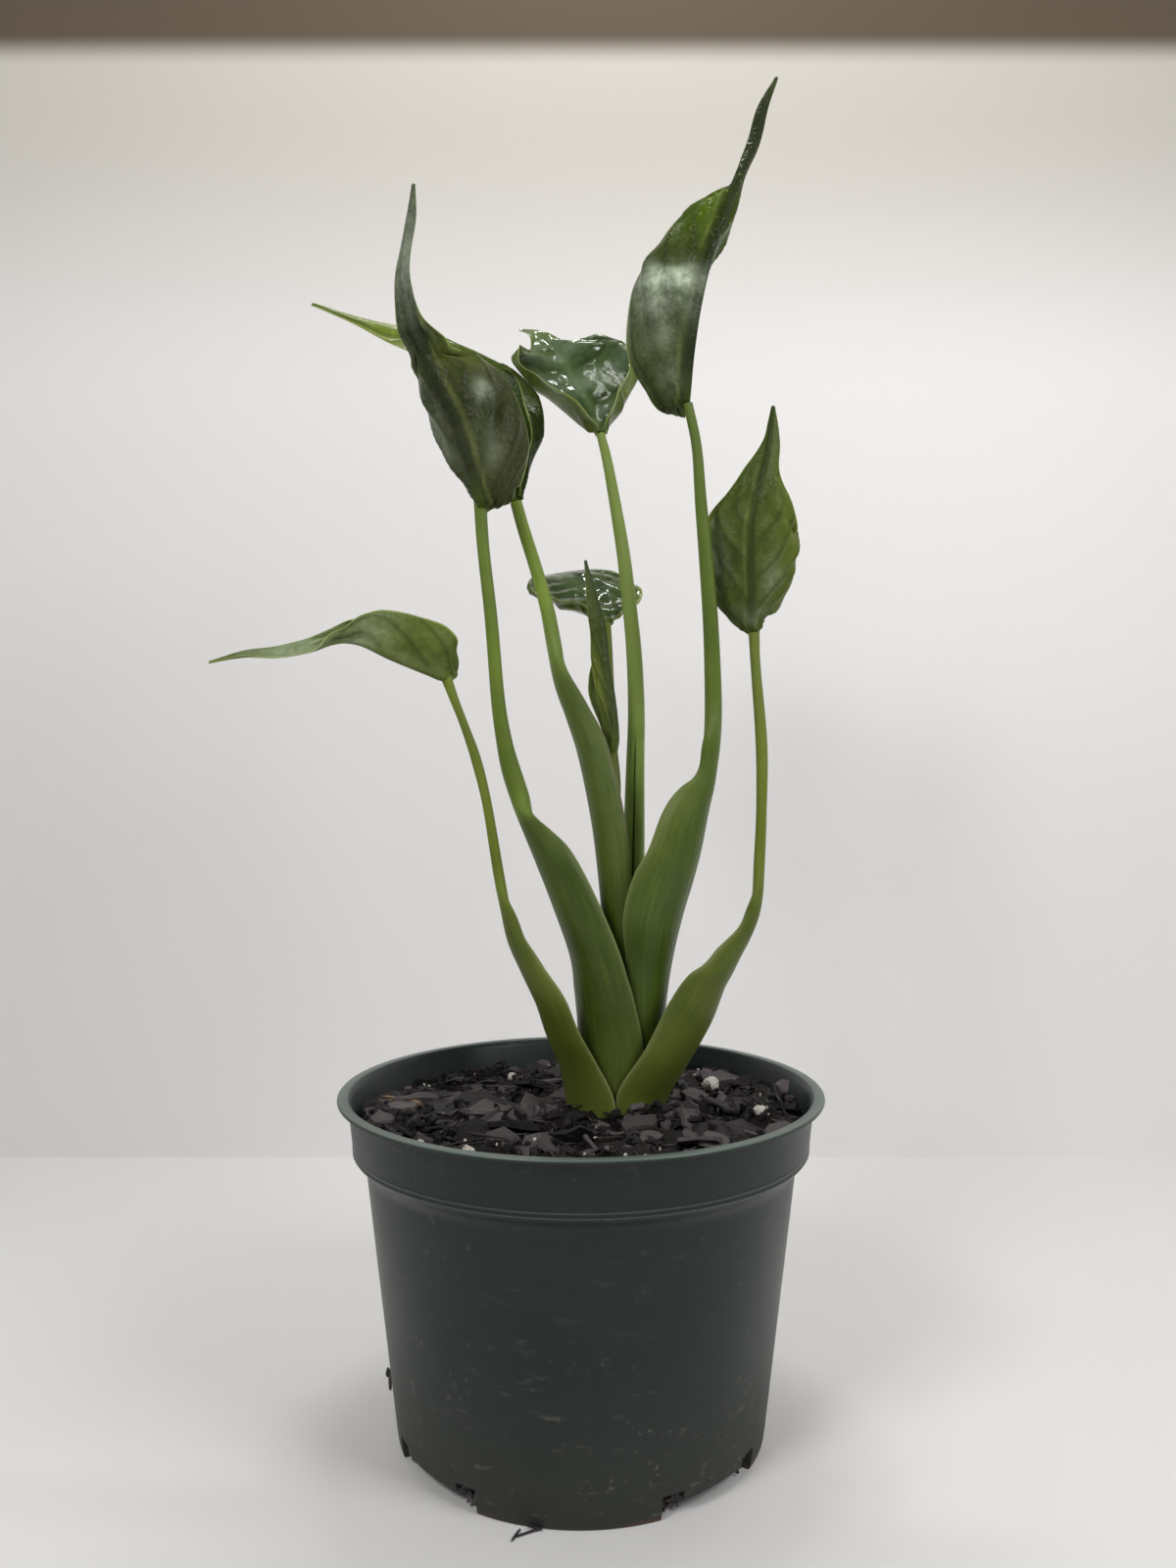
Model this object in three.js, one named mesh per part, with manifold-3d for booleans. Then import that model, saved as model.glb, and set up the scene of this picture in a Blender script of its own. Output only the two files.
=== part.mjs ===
// Potted tiny dancer alocasia: a tapered nursery pot, its mix and bark, and eight cupped leaves.
// Millimetres, +Z up, the pot stands on z = 0 with its axis on Z, and the plant's front faces -Y.
import * as THREE from 'three';
import Module from 'manifold-3d';

const wasm = await Module();
wasm.setup();

// Pot
const LIP_R = 82.5;
const LIP_INNER_R = 79.6;
const LIP_H = 2;
const POT_H = 115.5;
const BAND_TOP_R = 78.9;
const BAND_FOOT_R = 77.4;
const RIDGE_R = 77.9;
const SHOULDER_R = 72.8;
const SHOULDER_Z = 89.6;
const BASE_R = 62.2;
const WALL = 1.5;
const FLOOR = 1.8;
const POT_SIDES = 44;
const GAP_CENTRES = [41.5, 131.5, -48.5, -138.5];
const GAP_HALF = 18.5;
const GAP_H = 5;
const GAP_DEPTH_R = 48;
const DRAIN_WIDTH = 6.5;
const DRAIN_TOP = 7.6;
const DRAIN_INNER_R = 52;
const GAP_WALL_TURN = 1.6;
const BEYOND_R = BASE_R + 4;

// Ground
const CLEAR = 0.3;
const MIX_TOP = 102.4;
const MIX_SLOPE = 0.04;
const MOUND = 3;
const MOUND_R = 24;
const CRUST_T = 2.3;
const CRUST_R = 74.6;
const CROWN = [13, 2];
const STEM_HOLE = [12.5, 4.2];
const STEM_HOLE_R = 21;
const CORM_TOP = 103.3;
const CORM_PROFILE = [[7, 70], [15, 77], [19, 88], [20, 97], [20, 101.8], [18.6, CORM_TOP]];
const ROOT_TOP = 84;
const ROOT_R = [2.6, 1.1];
const ROOT_REACH = [10, 32];
const ROOTS = [{ turn: 20, drop: 22 }, { turn: 110, drop: 30 }, { turn: 200, drop: 26 },
  { turn: 290, drop: 32 }];
const MIX_EDGE_R = 75.6;
const MIX_RINGS = [68, 56, 42, 28, 14];
const CRUST_FLOOR = 1.1;
const CRUST_RINGS = [23, 38, 52, 64];
const CRUST_SIDES = 32;
const CHIP_COUNT = 30;
const CHIP_T = 2.2;
const POCKET_CLEAR = 0.35;

// Leaves
const BLADE_T = 0.9;
const EDGE_T = 0.7;
const RIB_T = 0.7;
const BLADE_ROWS = 16;
const BLADE_HALF_COLUMNS = 5;
const STALK_ROWS = 20;
const STALK_SIDES = 12;

// Blades folded about a midrib. rib: points along it. face: share along the rib, then the way the
// upper side looks (degrees round from +Y to +X, degrees up). left, right: share and half width on
// the arc. foldL, foldR: share, then the turn out of the rib's plane at the rib and at the margin.
const FOLDED = {
  a: {
    rib: [[-43.5, -11, 255.6], [-45.9, -16, 254.5], [-50, -19, 255.8], [-55.5, -21, 257.9],
      [-62.9, -23, 260.9], [-70.5, -25, 264.5], [-75.7, -26, 265.6], [-80.6, -27, 264.8],
      [-88, -28, 262], [-98.4, -29, 260.2], [-108.5, -29, 260.2], [-119.8, -28, 257.8]],
    face: [[0, -10, 60], [0.12, -5, 60], [0.4, 0, 65], [0.5, 180, 75], [0.6, 180, 45], [1, 180, 45]],
    left: [[0, 14], [0.1, 18], [0.2, 20], [0.3, 19], [0.38, 15], [0.45, 8], [0.5, 5], [0.6, 4], [0.75, 3],
      [0.9, 2], [1, 0.6]],
    right: [[0, 9.6], [0.1, 15.9], [0.2, 16.6], [0.3, 15.8], [0.38, 13.1], [0.43, 9], [0.48, 4.5], [0.6, 4.5],
      [0.75, 3.5], [0.9, 1.8], [1, 0.6]],
    foldL: [[0, 15, 80], [0.12, 35, 95], [0.4, 40, 105], [0.5, 40, 60], [0.6, 25, 30], [1, 30, 40]],
    foldR: [[0, 15, 70], [0.12, 30, 80], [0.4, 35, 95], [0.5, 40, 60], [0.6, 25, 30], [1, 30, 40]],
    base: 0.2, lobeL: 6, lobeR: 6, reach: 0.35,
  },
  b: {
    rib: [[-32.6, -8, 312.5], [-34.3, -15, 315.7], [-39.2, -21, 331.9], [-45.9, -26, 347],
      [-51.1, -30, 358.8], [-54.4, -33, 369], [-56.2, -34, 380.1], [-54.9, -34, 392.9],
      [-53.4, -32, 410.1]],
    face: [[0, 18, 10], [0.12, 18, 0], [0.5, 18, -5], [1, 15, -5]],
    left: [[0, 4], [0.1, 11], [0.2, 21.5], [0.3, 20.7], [0.4, 18.7], [0.46, 12], [0.5, 5.4], [0.58, 6.4],
      [0.7, 4.8], [0.8, 2.9], [0.9, 1.4], [1, 0.6]],
    right: [[0, 20], [0.1, 22.8], [0.2, 30], [0.3, 33], [0.38, 30], [0.44, 25], [0.48, 10], [0.52, 8.8],
      [0.6, 3.6], [0.7, 2.2], [0.8, 1.6], [0.9, 2], [1, 0.6]],
    foldL: [[0, 10, 90], [0.12, 10, 105], [0.38, 10, 112], [0.455, 15, 100], [0.5, 20, 10], [0.7, 25, 30],
      [1, 20, 30]],
    foldR: [[0, 5, 80], [0.12, 12, 95], [0.38, 15, 100], [0.455, 20, 90], [0.51, 5, -15], [0.7, 20, 30],
      [1, 20, 30]],
    base: 0.2, lobeL: 4, lobeR: 9, reach: 0.35,
  },
  e: {
    rib: [[34.3, -12, 343.8], [34.6, -20, 347.1], [35.4, -26, 358.4], [37.3, -29, 371.2],
      [40.4, -30, 384.4], [44.6, -29, 397.4], [49.4, -26, 410.3], [53.6, -23, 421.2], [57.6, -20, 431.2],
      [60.8, -18, 443.4], [65, -17, 453.4]],
    face: [[0, -38, 10], [0.12, -38, 0], [0.6, -38, -5], [0.75, -20, 0], [1, 0, 0]],
    left: [[0, 14.8], [0.1, 21.9], [0.2, 25.7], [0.32, 29.9], [0.43, 28.9], [0.53, 21.8], [0.6, 14],
      [0.65, 2.4], [0.7, 1.8], [0.8, 2.5], [0.9, 3.1], [1, 0.6]],
    right: [[0, 18], [0.1, 22], [0.2, 26], [0.32, 27], [0.43, 26], [0.53, 20], [0.6, 13], [0.66, 7],
      [0.7, 4], [0.8, 3], [0.9, 2], [1, 0.6]],
    foldL: [[0, 10, 90], [0.12, 25, 105], [0.45, 32, 115], [0.6, 32, 100], [0.7, 30, 50], [1, 30, 40]],
    foldR: [[0, 15, 90], [0.12, 45, 115], [0.36, 48, 125], [0.5, 25, 110], [0.62, 18, 90], [0.72, 40, 60],
      [1, 30, 40]],
    base: 0.2, lobeL: 2, lobeR: 6, reach: 0.35,
  },
  f: {
    rib: [[59, -2, 271.7], [57.8, -8, 275.2], [57.2, -13, 284.3], [56.8, -16, 296.9],
      [57.1, -18, 306.8], [59.4, -18, 318.2], [62.3, -16, 330.8], [64.4, -13, 345.3]],
    face: [[0, 0, 10], [0.15, 0, 0], [0.6, 3, 0], [1, 10, 0]],
    left: [[0, 8.1], [0.1, 17], [0.25, 20.3], [0.4, 24.1], [0.5, 22.7], [0.6, 11.9], [0.72, 6.7],
      [0.85, 2], [0.93, 1.2], [1, 0.6]],
    right: [[0, 14], [0.1, 17], [0.25, 24.5], [0.4, 27.5], [0.5, 22.1], [0.6, 15.9], [0.72, 6.2],
      [0.85, 3.8], [0.93, 2.3], [1, 0.6]],
    foldL: [[0, 0, 80], [0.15, 12, 85], [0.45, 15, 90], [0.65, 15, 40], [1, 20, 30]],
    foldR: [[0, 0, 80], [0.15, 12, 75], [0.45, 15, 75], [0.65, 15, 40], [1, 20, 30]],
    base: 0.22, lobeL: 2, lobeR: 5, reach: 0.35,
  },
  h: {
    rib: [[11, 8, 230.5], [11.5, 8, 236.1], [10.3, 9, 249.3], [8.4, 10, 262.2], [7.4, 11, 274.5],
      [4.1, 12, 286.9], [1.5, 13, 298.6]],
    face: [[0, -80, 0], [0.5, -80, 0], [1, -85, 0]],
    left: [[0, 2.9], [0.15, 3.8], [0.35, 4.9], [0.5, 4.8], [0.7, 4.2], [0.85, 2], [1, 0.6]],
    right: [[0, 2], [0.15, 5.1], [0.3, 7.8], [0.4, 6.8], [0.5, 4.2], [0.7, 4], [0.85, 2.2], [1, 0.6]],
    foldL: [[0, 65, 100], [1, 65, 100]],
    foldR: [[0, 70, 100], [1, 70, 100]],
    base: 0.1, lobeL: 0, lobeR: 0, reach: 0.3,
  },
};

// Blades that show their upper side, as rows of five points from margin to margin, base to tip.
const SPREAD = {
  c: [
    [[-23.5, 6, 319.6], [-23.9, 7, 319.2], [-22.8, 7, 318.8], [-21.8, 7, 319.5], [-22.1, 6, 320]],
    [[-27.7, 2, 322], [-32.2, 8, 325], [-25.4, 14, 326.9], [-18.1, 9, 331.8], [-20.6, 3, 328.8]],
    [[-37.7, 0, 332.1], [-42.7, 9, 338.4], [-32.2, 20, 340.6], [-14.5, 14, 345.9], [-18, 6, 341.3]],
    [[-44.7, 2, 346.6], [-49.4, 12, 353.3], [-38.6, 24, 353.2], [-16.9, 20, 358.7], [-20.5, 14, 355]],
    [[-48.6, 6, 357.9], [-53.5, 17, 365.5], [-45.4, 27, 365.8], [-27.3, 26, 371.2], [-25.7, 24, 369.1]],
    [[-54.5, 14, 367.6], [-57, 22, 373.4], [-52.4, 28, 375.2], [-43.7, 31, 381], [-41, 33, 381.1]],
    [[-62, 22, 376.2], [-61.9, 26, 380.3], [-60.6, 29, 381.8], [-56.2, 32, 385.8], [-54.3, 34, 387.7]],
    [[-72, 26, 382.1], [-72.4, 28, 383.9], [-71.8, 29, 385.4], [-70, 31, 388.4], [-69.2, 33, 390.6]],
    [[-83.6, 28, 389], [-83.8, 29, 390.1], [-83.5, 29, 390.9], [-82.9, 30, 392], [-82.4, 31, 392.8]],
    [[-100, 27.6, 396], [-100, 27.8, 396.3], [-100, 28, 396.6], [-99.8, 28.2, 396.9], [-99.6, 28.4, 397.2]],
  ],
  d: [
    [[6.3, 25, 348.9], [5.9, 26, 348.4], [7, 26, 348.4], [8.1, 26, 348.4], [8.1, 25, 348.9]],
    [[3.1, 20, 352.7], [0.5, 27, 351.3], [5.3, 31, 356.2], [12.8, 27, 354.9], [10.2, 21, 354.1]],
    [[-4.7, 17, 358.8], [-11, 27, 360.3], [0.5, 37, 366.6], [17.3, 30, 364.6], [13.8, 22, 363.3]],
    [[-14.3, 18, 365.2], [-19.7, 27, 367.9], [-4, 42, 375.4], [19.3, 36, 375.9], [17.3, 32, 373.4]],
    [[-21.6, 21, 371.6], [-24.4, 27, 375.6], [-7.5, 45, 382.1], [12.8, 42, 386.7], [16.5, 41, 385.9]],
    [[-22.9, 26, 380.6], [-20.4, 33, 380], [-11.6, 46, 387.4], [0.4, 48, 390.8], [6.9, 48, 393.1]],
    [[-19.6, 38, 382.5], [-18.3, 43, 387], [-15.5, 47, 390.4], [-9.1, 49, 391.6], [-4.1, 50, 390.8]],
    [[-19.8, 44, 391.2], [-19.9, 46, 392.3], [-19.3, 48, 393.9], [-17.4, 49, 394.6], [-14.8, 50, 395]],
    [[-24.3, 48.6, 394.8], [-24.3, 48.8, 395], [-24.3, 49, 395.2], [-24.3, 49.2, 395.5], [-24.3, 49.4, 395.8]],
  ],
  g: [
    [[9.5, 45, 281.8], [9.1, 46, 281.2], [9.9, 46, 281.2], [10.6, 46, 281.6], [10.6, 45, 281.8]],
    [[3.1, 36, 285], [1.6, 43, 283.4], [6.5, 50, 287.1], [16, 50, 286.4], [18.4, 48, 287.4]],
    [[-5.7, 33, 287.8], [-9.6, 42, 287.8], [2.3, 56, 293.4], [14, 58, 294.6], [23.8, 58, 293.8]],
    [[-12.4, 34, 289.1], [-16.4, 42, 290.8], [-1.5, 60, 298], [7, 64, 301.4], [19.4, 68, 301.4]],
    [[-17.6, 37, 291.4], [-19.8, 44, 294.1], [-5.9, 62, 301.1], [0, 68, 304.5], [8.7, 73, 306.6]],
    [[-19.8, 44, 295.6], [-19.3, 49, 298.7], [-12.1, 61, 302.1], [-7.9, 68, 304.5], [-3.3, 73, 306.2]],
    [[-20.6, 52, 298.5], [-20.3, 54, 299.6], [-19.3, 56, 300.4], [-17.8, 58, 301.1], [-16.3, 60, 301.5]],
  ],
};

// Stalks, top to foot: centre of the spine, half width round the bend, half thickness, bend (1/radius,
// 0 where it is a plain rod) and the way the open side faces (degrees from +X towards +Y).
const STALK = {
  a: [[-44.8, -15, 253.9, 1.8, 1.8, 0, 0], [-42.2, -15, 246.8, 1.5, 1.5, 0, 0],
    [-38.9, -15, 238.3, 1.4, 1.4, 0, 0], [-35, -14.5, 226.9, 1.7, 1.7, 0, 0],
    [-31.4, -14, 212.1, 1.6, 1.6, 0, 0], [-27.7, -13, 189.5, 1.8, 1.8, 0, 0],
    [-25.2, -12.5, 176, 4.9, 1.7, 0.312, 0], [-23.1, -12, 165.8, 7.6, 1.5, 0.227, 0],
    [-18.9, -11.5, 156.2, 10.8, 1.5, 0.154, 0], [-14.1, -10.5, 145.5, 14.3, 1.4, 0.118, 0],
    [-10.4, -9.6, 134.4, 13.8, 1.4, 0.111, 10], [-4.9, -8.1, 121.9, 13.6, 1.4, 0.083, 25],
    [-1.5, -7.8, 111.2, 15.3, 1.4, 0.057, 34], [-0.9, -8.1, 104.8, 14.4, 1.4, 0.058, 36]],
  f: [[59.2, -4, 270.4, 1.9, 1.9, 0, 180], [59.6, -5, 258.9, 1.7, 1.7, 0, 180],
    [61.3, -7, 232, 2, 2, 0, 180], [61.1, -8, 209.7, 1.8, 1.8, 0, 180],
    [60.3, -8.5, 192.2, 1.9, 1.9, 0, 180], [59.4, -8.5, 178.6, 4.8, 1.8, 0.312, 180],
    [57, -8, 169.6, 7.2, 1.6, 0.217, 180], [52.3, -7, 159.8, 12.7, 1.5, 0.143, 180],
    [48, -6, 150.7, 17.7, 1.4, 0.105, 180], [42.9, -7.8, 138.8, 18.4, 1.4, 0.091, 165],
    [33.8, -9.1, 124.6, 15.9, 1.4, 0.077, 152], [26.4, -7.1, 111.9, 17, 1.4, 0.062, 146],
    [25.9, -6.7, 104.4, 15.8, 1.4, 0.064, 146]],
  b: [[-34.2, -10, 316, 2.2, 2.2, 0, 0], [-33.1, -9.5, 298.9, 2, 2, 0, 0],
    [-29.5, -8.5, 266.5, 2.2, 2.2, 0, 0], [-27.9, -7, 241.4, 2.4, 2.4, 0, 0],
    [-25.4, -6, 227.1, 2.7, 2.7, 0, 0], [-23.4, -5, 214.7, 7.5, 1.9, 0.227, 0],
    [-20.1, -4, 206, 11.8, 1.7, 0.154, 0], [-13.5, -3, 191.8, 17.8, 1.6, 0.111, 0],
    [-8, -2, 177.3, 20.1, 1.5, 0.095, 0], [-2.6, -1, 160, 22.6, 1.5, 0.083, 0],
    [-1, -0.4, 148, 25, 1.5, 0.08, 2], [0.1, 0.3, 136, 26.5, 1.5, 0.076, 5],
    [0.3, -0.3, 124, 27.3, 1.5, 0.074, 10], [0.3, -0.8, 112, 26, 1.5, 0.075, 12],
    [0.3, -0.7, 104.4, 24.5, 1.5, 0.077, 12]],
  e: [[35.3, -19, 344.2, 1.6, 1.6, 0, 180], [38.3, -18, 330.2, 1.7, 1.7, 0, 180],
    [39.9, -16, 311.9, 2, 2, 0, 180], [41.4, -14.5, 297.2, 2.3, 2.3, 0, 180],
    [43.5, -12, 272.7, 2.6, 2.6, 0, 180], [44.7, -9, 247.5, 2.9, 2.9, 0, 180],
    [44.5, -7.5, 233.7, 6.6, 2.9, 0.167, 180], [43.8, -6, 224.1, 7.8, 2.6, 0.167, 180],
    [43.3, -5, 217.7, 13.8, 2.2, 0.133, 180], [41.6, -4, 208.7, 19.9, 2, 0.1, 180],
    [39.6, -3, 197.2, 23.7, 1.9, 0.083, 180], [37.2, -1, 186.6, 27.6, 1.8, 0.074, 180],
    [33.1, 1, 171.6, 27.7, 1.7, 0.071, 180], [29.7, 2.2, 154.6, 20.5, 1.5, 0.093, 180],
    [27.4, 2, 137, 16.5, 1.4, 0.109, 180], [25.1, 2, 120, 16.8, 1.4, 0.105, 176],
    [23, 1.6, 104.4, 17, 1.5, 0.109, 174]],
  c: [[-23, 6.6, 317.9, 2.1, 2.1, 0, 0], [-21.3, 6.5, 311.8, 2.1, 2.1, 0, 0],
    [-18.1, 7, 301.6, 2.2, 2.2, 0, 0], [-13.7, 8, 288.6, 2.2, 2.2, 0, 0],
    [-10.6, 9, 275.6, 2.5, 2.5, 0, 0], [-7.8, 9, 262.4, 3, 3, 0, 0],
    [-4.6, 9, 251.4, 3.5, 3.5, 0, 0], [-2.8, 8.5, 242.3, 10.3, 2, 0.182, 0],
    [-0.3, 7.5, 230.5, 14.9, 1.9, 0.118, 0], [3.1, 5, 215.7, 15.8, 1.8, 0.111, 0],
    [6.1, 3, 198.2, 15.7, 1.7, 0.111, 0], [8.5, 1.5, 175.6, 14.4, 1.7, 0.119, 0],
    [9.8, 2, 149.3, 11.9, 1.4, 0.143, 0], [8.4, 3, 120, 11.2, 1.4, 0.156, 0],
    [8, 2.8, 104.1, 10.1, 1.3, 0.172, 0]],
  d: [[6.8, 25, 347.4, 1.6, 1.6, 0, -90], [9.7, 24, 334.2, 2, 2, 0, -90],
    [14.9, 23, 304.8, 2.1, 2.1, 0, -90], [17.3, 22, 284.2, 2.1, 2.1, 0, -90],
    [18.9, 21, 270.2, 2.3, 2.3, 0, -90], [19.8, 20, 256.5, 2.5, 2.5, 0, -90],
    [20.2, 21, 243, 2.8, 2.8, 0, -90], [19.8, 23.4, 229.5, 5.4, 2.4, 0.217, -90],
    [19.3, 25, 215.7, 10.4, 2, 0.185, -90], [19, 26.4, 196.2, 11.8, 1.8, 0.167, -90],
    [18.6, 27, 169, 11.2, 1.6, 0.167, -90], [17.6, 25.5, 139, 8.4, 1.5, 0.217, -90],
    [16.4, 22, 104, 6.5, 1.4, 0.256, -90]],
  g: [[9.3, 45.6, 280.3, 1.9, 1.9, 0, 0], [9.9, 40, 269.2, 1.8, 1.8, 0, 0],
    [10.7, 34, 250.9, 1.7, 1.7, 0, 0], [11.4, 30, 233.1, 1.8, 1.8, 0, 0],
    [12.6, 28, 216.3, 1.9, 1.9, 0, 0], [10.5, 26.5, 193.8, 2, 2, 0, 0],
    [8.5, 25, 169.1, 2, 2, 0, 0], [6.8, 22, 135.2, 1.9, 1.9, 0, 0],
    [6.2, 20, 104, 1.9, 1.9, 0, 0]],
  h: [[10.1, 9, 231.3, 1.9, 1.9, 0, 0], [11.3, 9, 218.8, 2.1, 2.1, 0, 0],
    [13.6, 5, 198.1, 2.1, 2.1, 0, 0], [15, 2.5, 170.7, 2, 2, 0, 0],
    [14.6, 2.5, 136.8, 1.9, 1.9, 0, 0], [13.9, 3, 103.9, 1.7, 1.7, 0, 0]],
};

// Perlite grains that show: x, y and radius.
const PERLITE = [[-26.9, 49.7, 1.7], [46.6, 18.4, 2.7], [59.3, -16, 1.9], [-50.6, -37, 1.7],
  [-34.3, -46, 1.9], [-12.2, -58.7, 1.6]];

// Bark chips that stand out: x, y, length, width, thickness, turn, tilt and lift.
const NAMED_CHIPS = [[-19.5, -17, 9, 7, 2.6, 20, 62, 2.4], [-9.2, -42, 10, 8, 2.4, 75, 35, 1.6],
  [18.5, -27, 13, 8, 2.6, -15, 24, 1.6], [-58, 12, 19, 6, 2.4, 10, 8, 1.2], [40, 4, 15, 8, 2.4, 30, 18, 1.6],
  [50, 30, 14, 9, 2.4, -20, 15, 1.6], [70, 3, 9, 6, 2.2, 60, 40, 4.2], [62, -34, 14, 8, 2.4, 55, 12, 1.4],
  [-38, -60, 13, 9, 2.4, -30, 14, 1.4], [-66, -14, 12, 8, 2.4, 80, 16, 1.6]];

const RAD = Math.PI / 180;

function seeded(seed) {
  let a = seed;
  return () => {
    a = (a + 0x6d2b79f5) | 0;
    let t = Math.imul(a ^ (a >>> 15), 1 | a);
    t = (t + Math.imul(t ^ (t >>> 7), 61 | t)) ^ t;
    return ((t ^ (t >>> 14)) >>> 0) / 4294967296;
  };
}

function solid(points, faces) {
  const body = (flip) => new wasm.Manifold(new wasm.Mesh({
    numProp: 3,
    vertProperties: new Float32Array(points.flat()),
    triVerts: new Uint32Array((flip ? faces.map(([a, b, c]) => [a, c, b]) : faces).flat()),
  }));
  const first = body(false);
  return first.volume() > 0 ? first : body(true);
}

function largest(body) {
  return body.decompose().sort((p, q) => q.volume() - p.volume())[0];
}

function meshOf(name, body, colour, roughness) {
  const { numProp, vertProperties, triVerts } = body.getMesh();
  const flat = new Float32Array((vertProperties.length / numProp) * 3);
  for (let i = 0; i < flat.length / 3; i += 1) {
    for (let k = 0; k < 3; k += 1) {
      flat[i * 3 + k] = vertProperties[i * numProp + k];
    }
  }
  const geometry = new THREE.BufferGeometry();
  geometry.setAttribute('position', new THREE.BufferAttribute(flat, 3));
  geometry.setIndex(new THREE.BufferAttribute(new Uint32Array(triVerts), 1));
  geometry.computeVertexNormals();
  const mesh = new THREE.Mesh(geometry, new THREE.MeshStandardMaterial({ color: colour, roughness }));
  mesh.name = name;
  return mesh;
}

// A closed tube of rings, each ring a list of points. Its ends are fans, or strips across a crescent.
function loft(rings, crescent = false) {
  const n = rings[0].length;
  const points = rings.flat();
  const faces = [];
  for (let i = 0; i + 1 < rings.length; i += 1) {
    for (let j = 0; j < n; j += 1) {
      const k = (j + 1) % n;
      faces.push([i * n + j, i * n + k, (i + 1) * n + k], [i * n + j, (i + 1) * n + k, (i + 1) * n + j]);
    }
  }
  const last = (rings.length - 1) * n;
  for (const [start, turn] of [[0, true], [last, false]]) {
    if (crescent) {
      for (let j = 0; j < n / 2; j += 1) {
        const [a, b, c, d] = [j, j + 1, n - j - 1, (n - j) % n].map((k) => start + k);
        const pair = [[a, b, c], [a, c, d]].filter(([x, y, z]) => x !== y && y !== z && z !== x);
        faces.push(...pair.map(([x, y, z]) => (turn ? [x, z, y] : [x, y, z])));
      }
      continue;
    }
    const ring = rings[start / n];
    const centre = [0, 1, 2].map((k) => ring.reduce((sum, p) => sum + p[k], 0) / n);
    points.push(centre);
    for (let j = 0; j < n; j += 1) {
      const k = (j + 1) % n;
      faces.push(turn ? [points.length - 1, start + k, start + j] : [points.length - 1, start + j, start + k]);
    }
  }
  return solid(points, faces);
}

// A solid turned about a vertical axis from [radius, height] rows, foot to top.
function turned(rows, centre = [0, 0], sides = POT_SIDES) {
  return loft(rows.map(([r, z]) => Array.from({ length: sides }, (_, j) => {
    const a = (j * 2 * Math.PI) / sides;
    return [centre[0] + r * Math.cos(a), centre[1] + r * Math.sin(a), z];
  })));
}

// A ring segment. Angles are degrees from the front, positive to the right.
function sector(r0, r1, z0, z1, from, to) {
  const steps = Math.max(2, Math.ceil((to - from) / 7.5));
  const rings = [];
  for (let i = 0; i <= steps; i += 1) {
    const a = (from + ((to - from) * i) / steps) * RAD;
    const at = (r, z) => [r * Math.sin(a), -r * Math.cos(a), z];
    rings.push([at(r0, z0), at(r1, z0), at(r1, z1), at(r0, z1)]);
  }
  return loft(rings);
}

// Smooth value of rows [share, ...values] at a share.
function profile(rows, u) {
  let i = 0;
  while (i < rows.length - 2 && u >= rows[i + 1][0]) {
    i += 1;
  }
  const slope = (j, k) => {
    const lo = Math.max(j - 1, 0);
    const hi = Math.min(j + 1, rows.length - 1);
    return (rows[hi][k] - rows[lo][k]) / (rows[hi][0] - rows[lo][0]);
  };
  const h = rows[i + 1][0] - rows[i][0];
  const t = Math.min(Math.max((u - rows[i][0]) / h, 0), 1);
  return rows[i].slice(1).map((v, m) => {
    const k = m + 1;
    return (2 * t ** 3 - 3 * t ** 2 + 1) * v + (t ** 3 - 2 * t ** 2 + t) * h * slope(i, k)
      + (-2 * t ** 3 + 3 * t ** 2) * rows[i + 1][k] + (t ** 3 - t ** 2) * h * slope(i + 1, k);
  });
}

// Smooth curve through rows of any length at t = 0 ... 1.
function along(rows, t) {
  const x = Math.min(Math.max(t, 0), 1) * (rows.length - 1);
  const i = Math.min(Math.floor(x), rows.length - 2);
  const w = x - i;
  const get = (j) => {
    if (j < 0) {
      return rows[0].map((v, k) => 2 * v - rows[1][k]);
    }
    if (j >= rows.length) {
      return rows[rows.length - 1].map((v, k) => 2 * v - rows[rows.length - 2][k]);
    }
    return rows[j];
  };
  const [p0, p1, p2, p3] = [get(i - 1), get(i), get(i + 1), get(i + 2)];
  return p1.map((v, k) => {
    const v0 = (p2[k] - p0[k]) / 2;
    const v1 = (p3[k] - p1[k]) / 2;
    return (2 * v - 2 * p2[k] + v0 + v1) * w ** 3 + (-3 * v + 3 * p2[k] - 2 * v0 - v1) * w ** 2 + v0 * w + v;
  });
}

// Curve parameter at an even share of the length.
function evenly(rows, share) {
  const steps = 160;
  const lengths = [0];
  let last = along(rows, 0);
  for (let i = 1; i <= steps; i += 1) {
    const next = along(rows, i / steps);
    lengths.push(lengths[i - 1] + Math.hypot(next[0] - last[0], next[1] - last[1], next[2] - last[2]));
    last = next;
  }
  const want = share * lengths[steps];
  let i = 0;
  while (i < steps - 1 && lengths[i + 1] < want) {
    i += 1;
  }
  return (i + (want - lengths[i]) / (lengths[i + 1] - lengths[i])) / steps;
}

const vec = (p) => new THREE.Vector3(...p);

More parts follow.
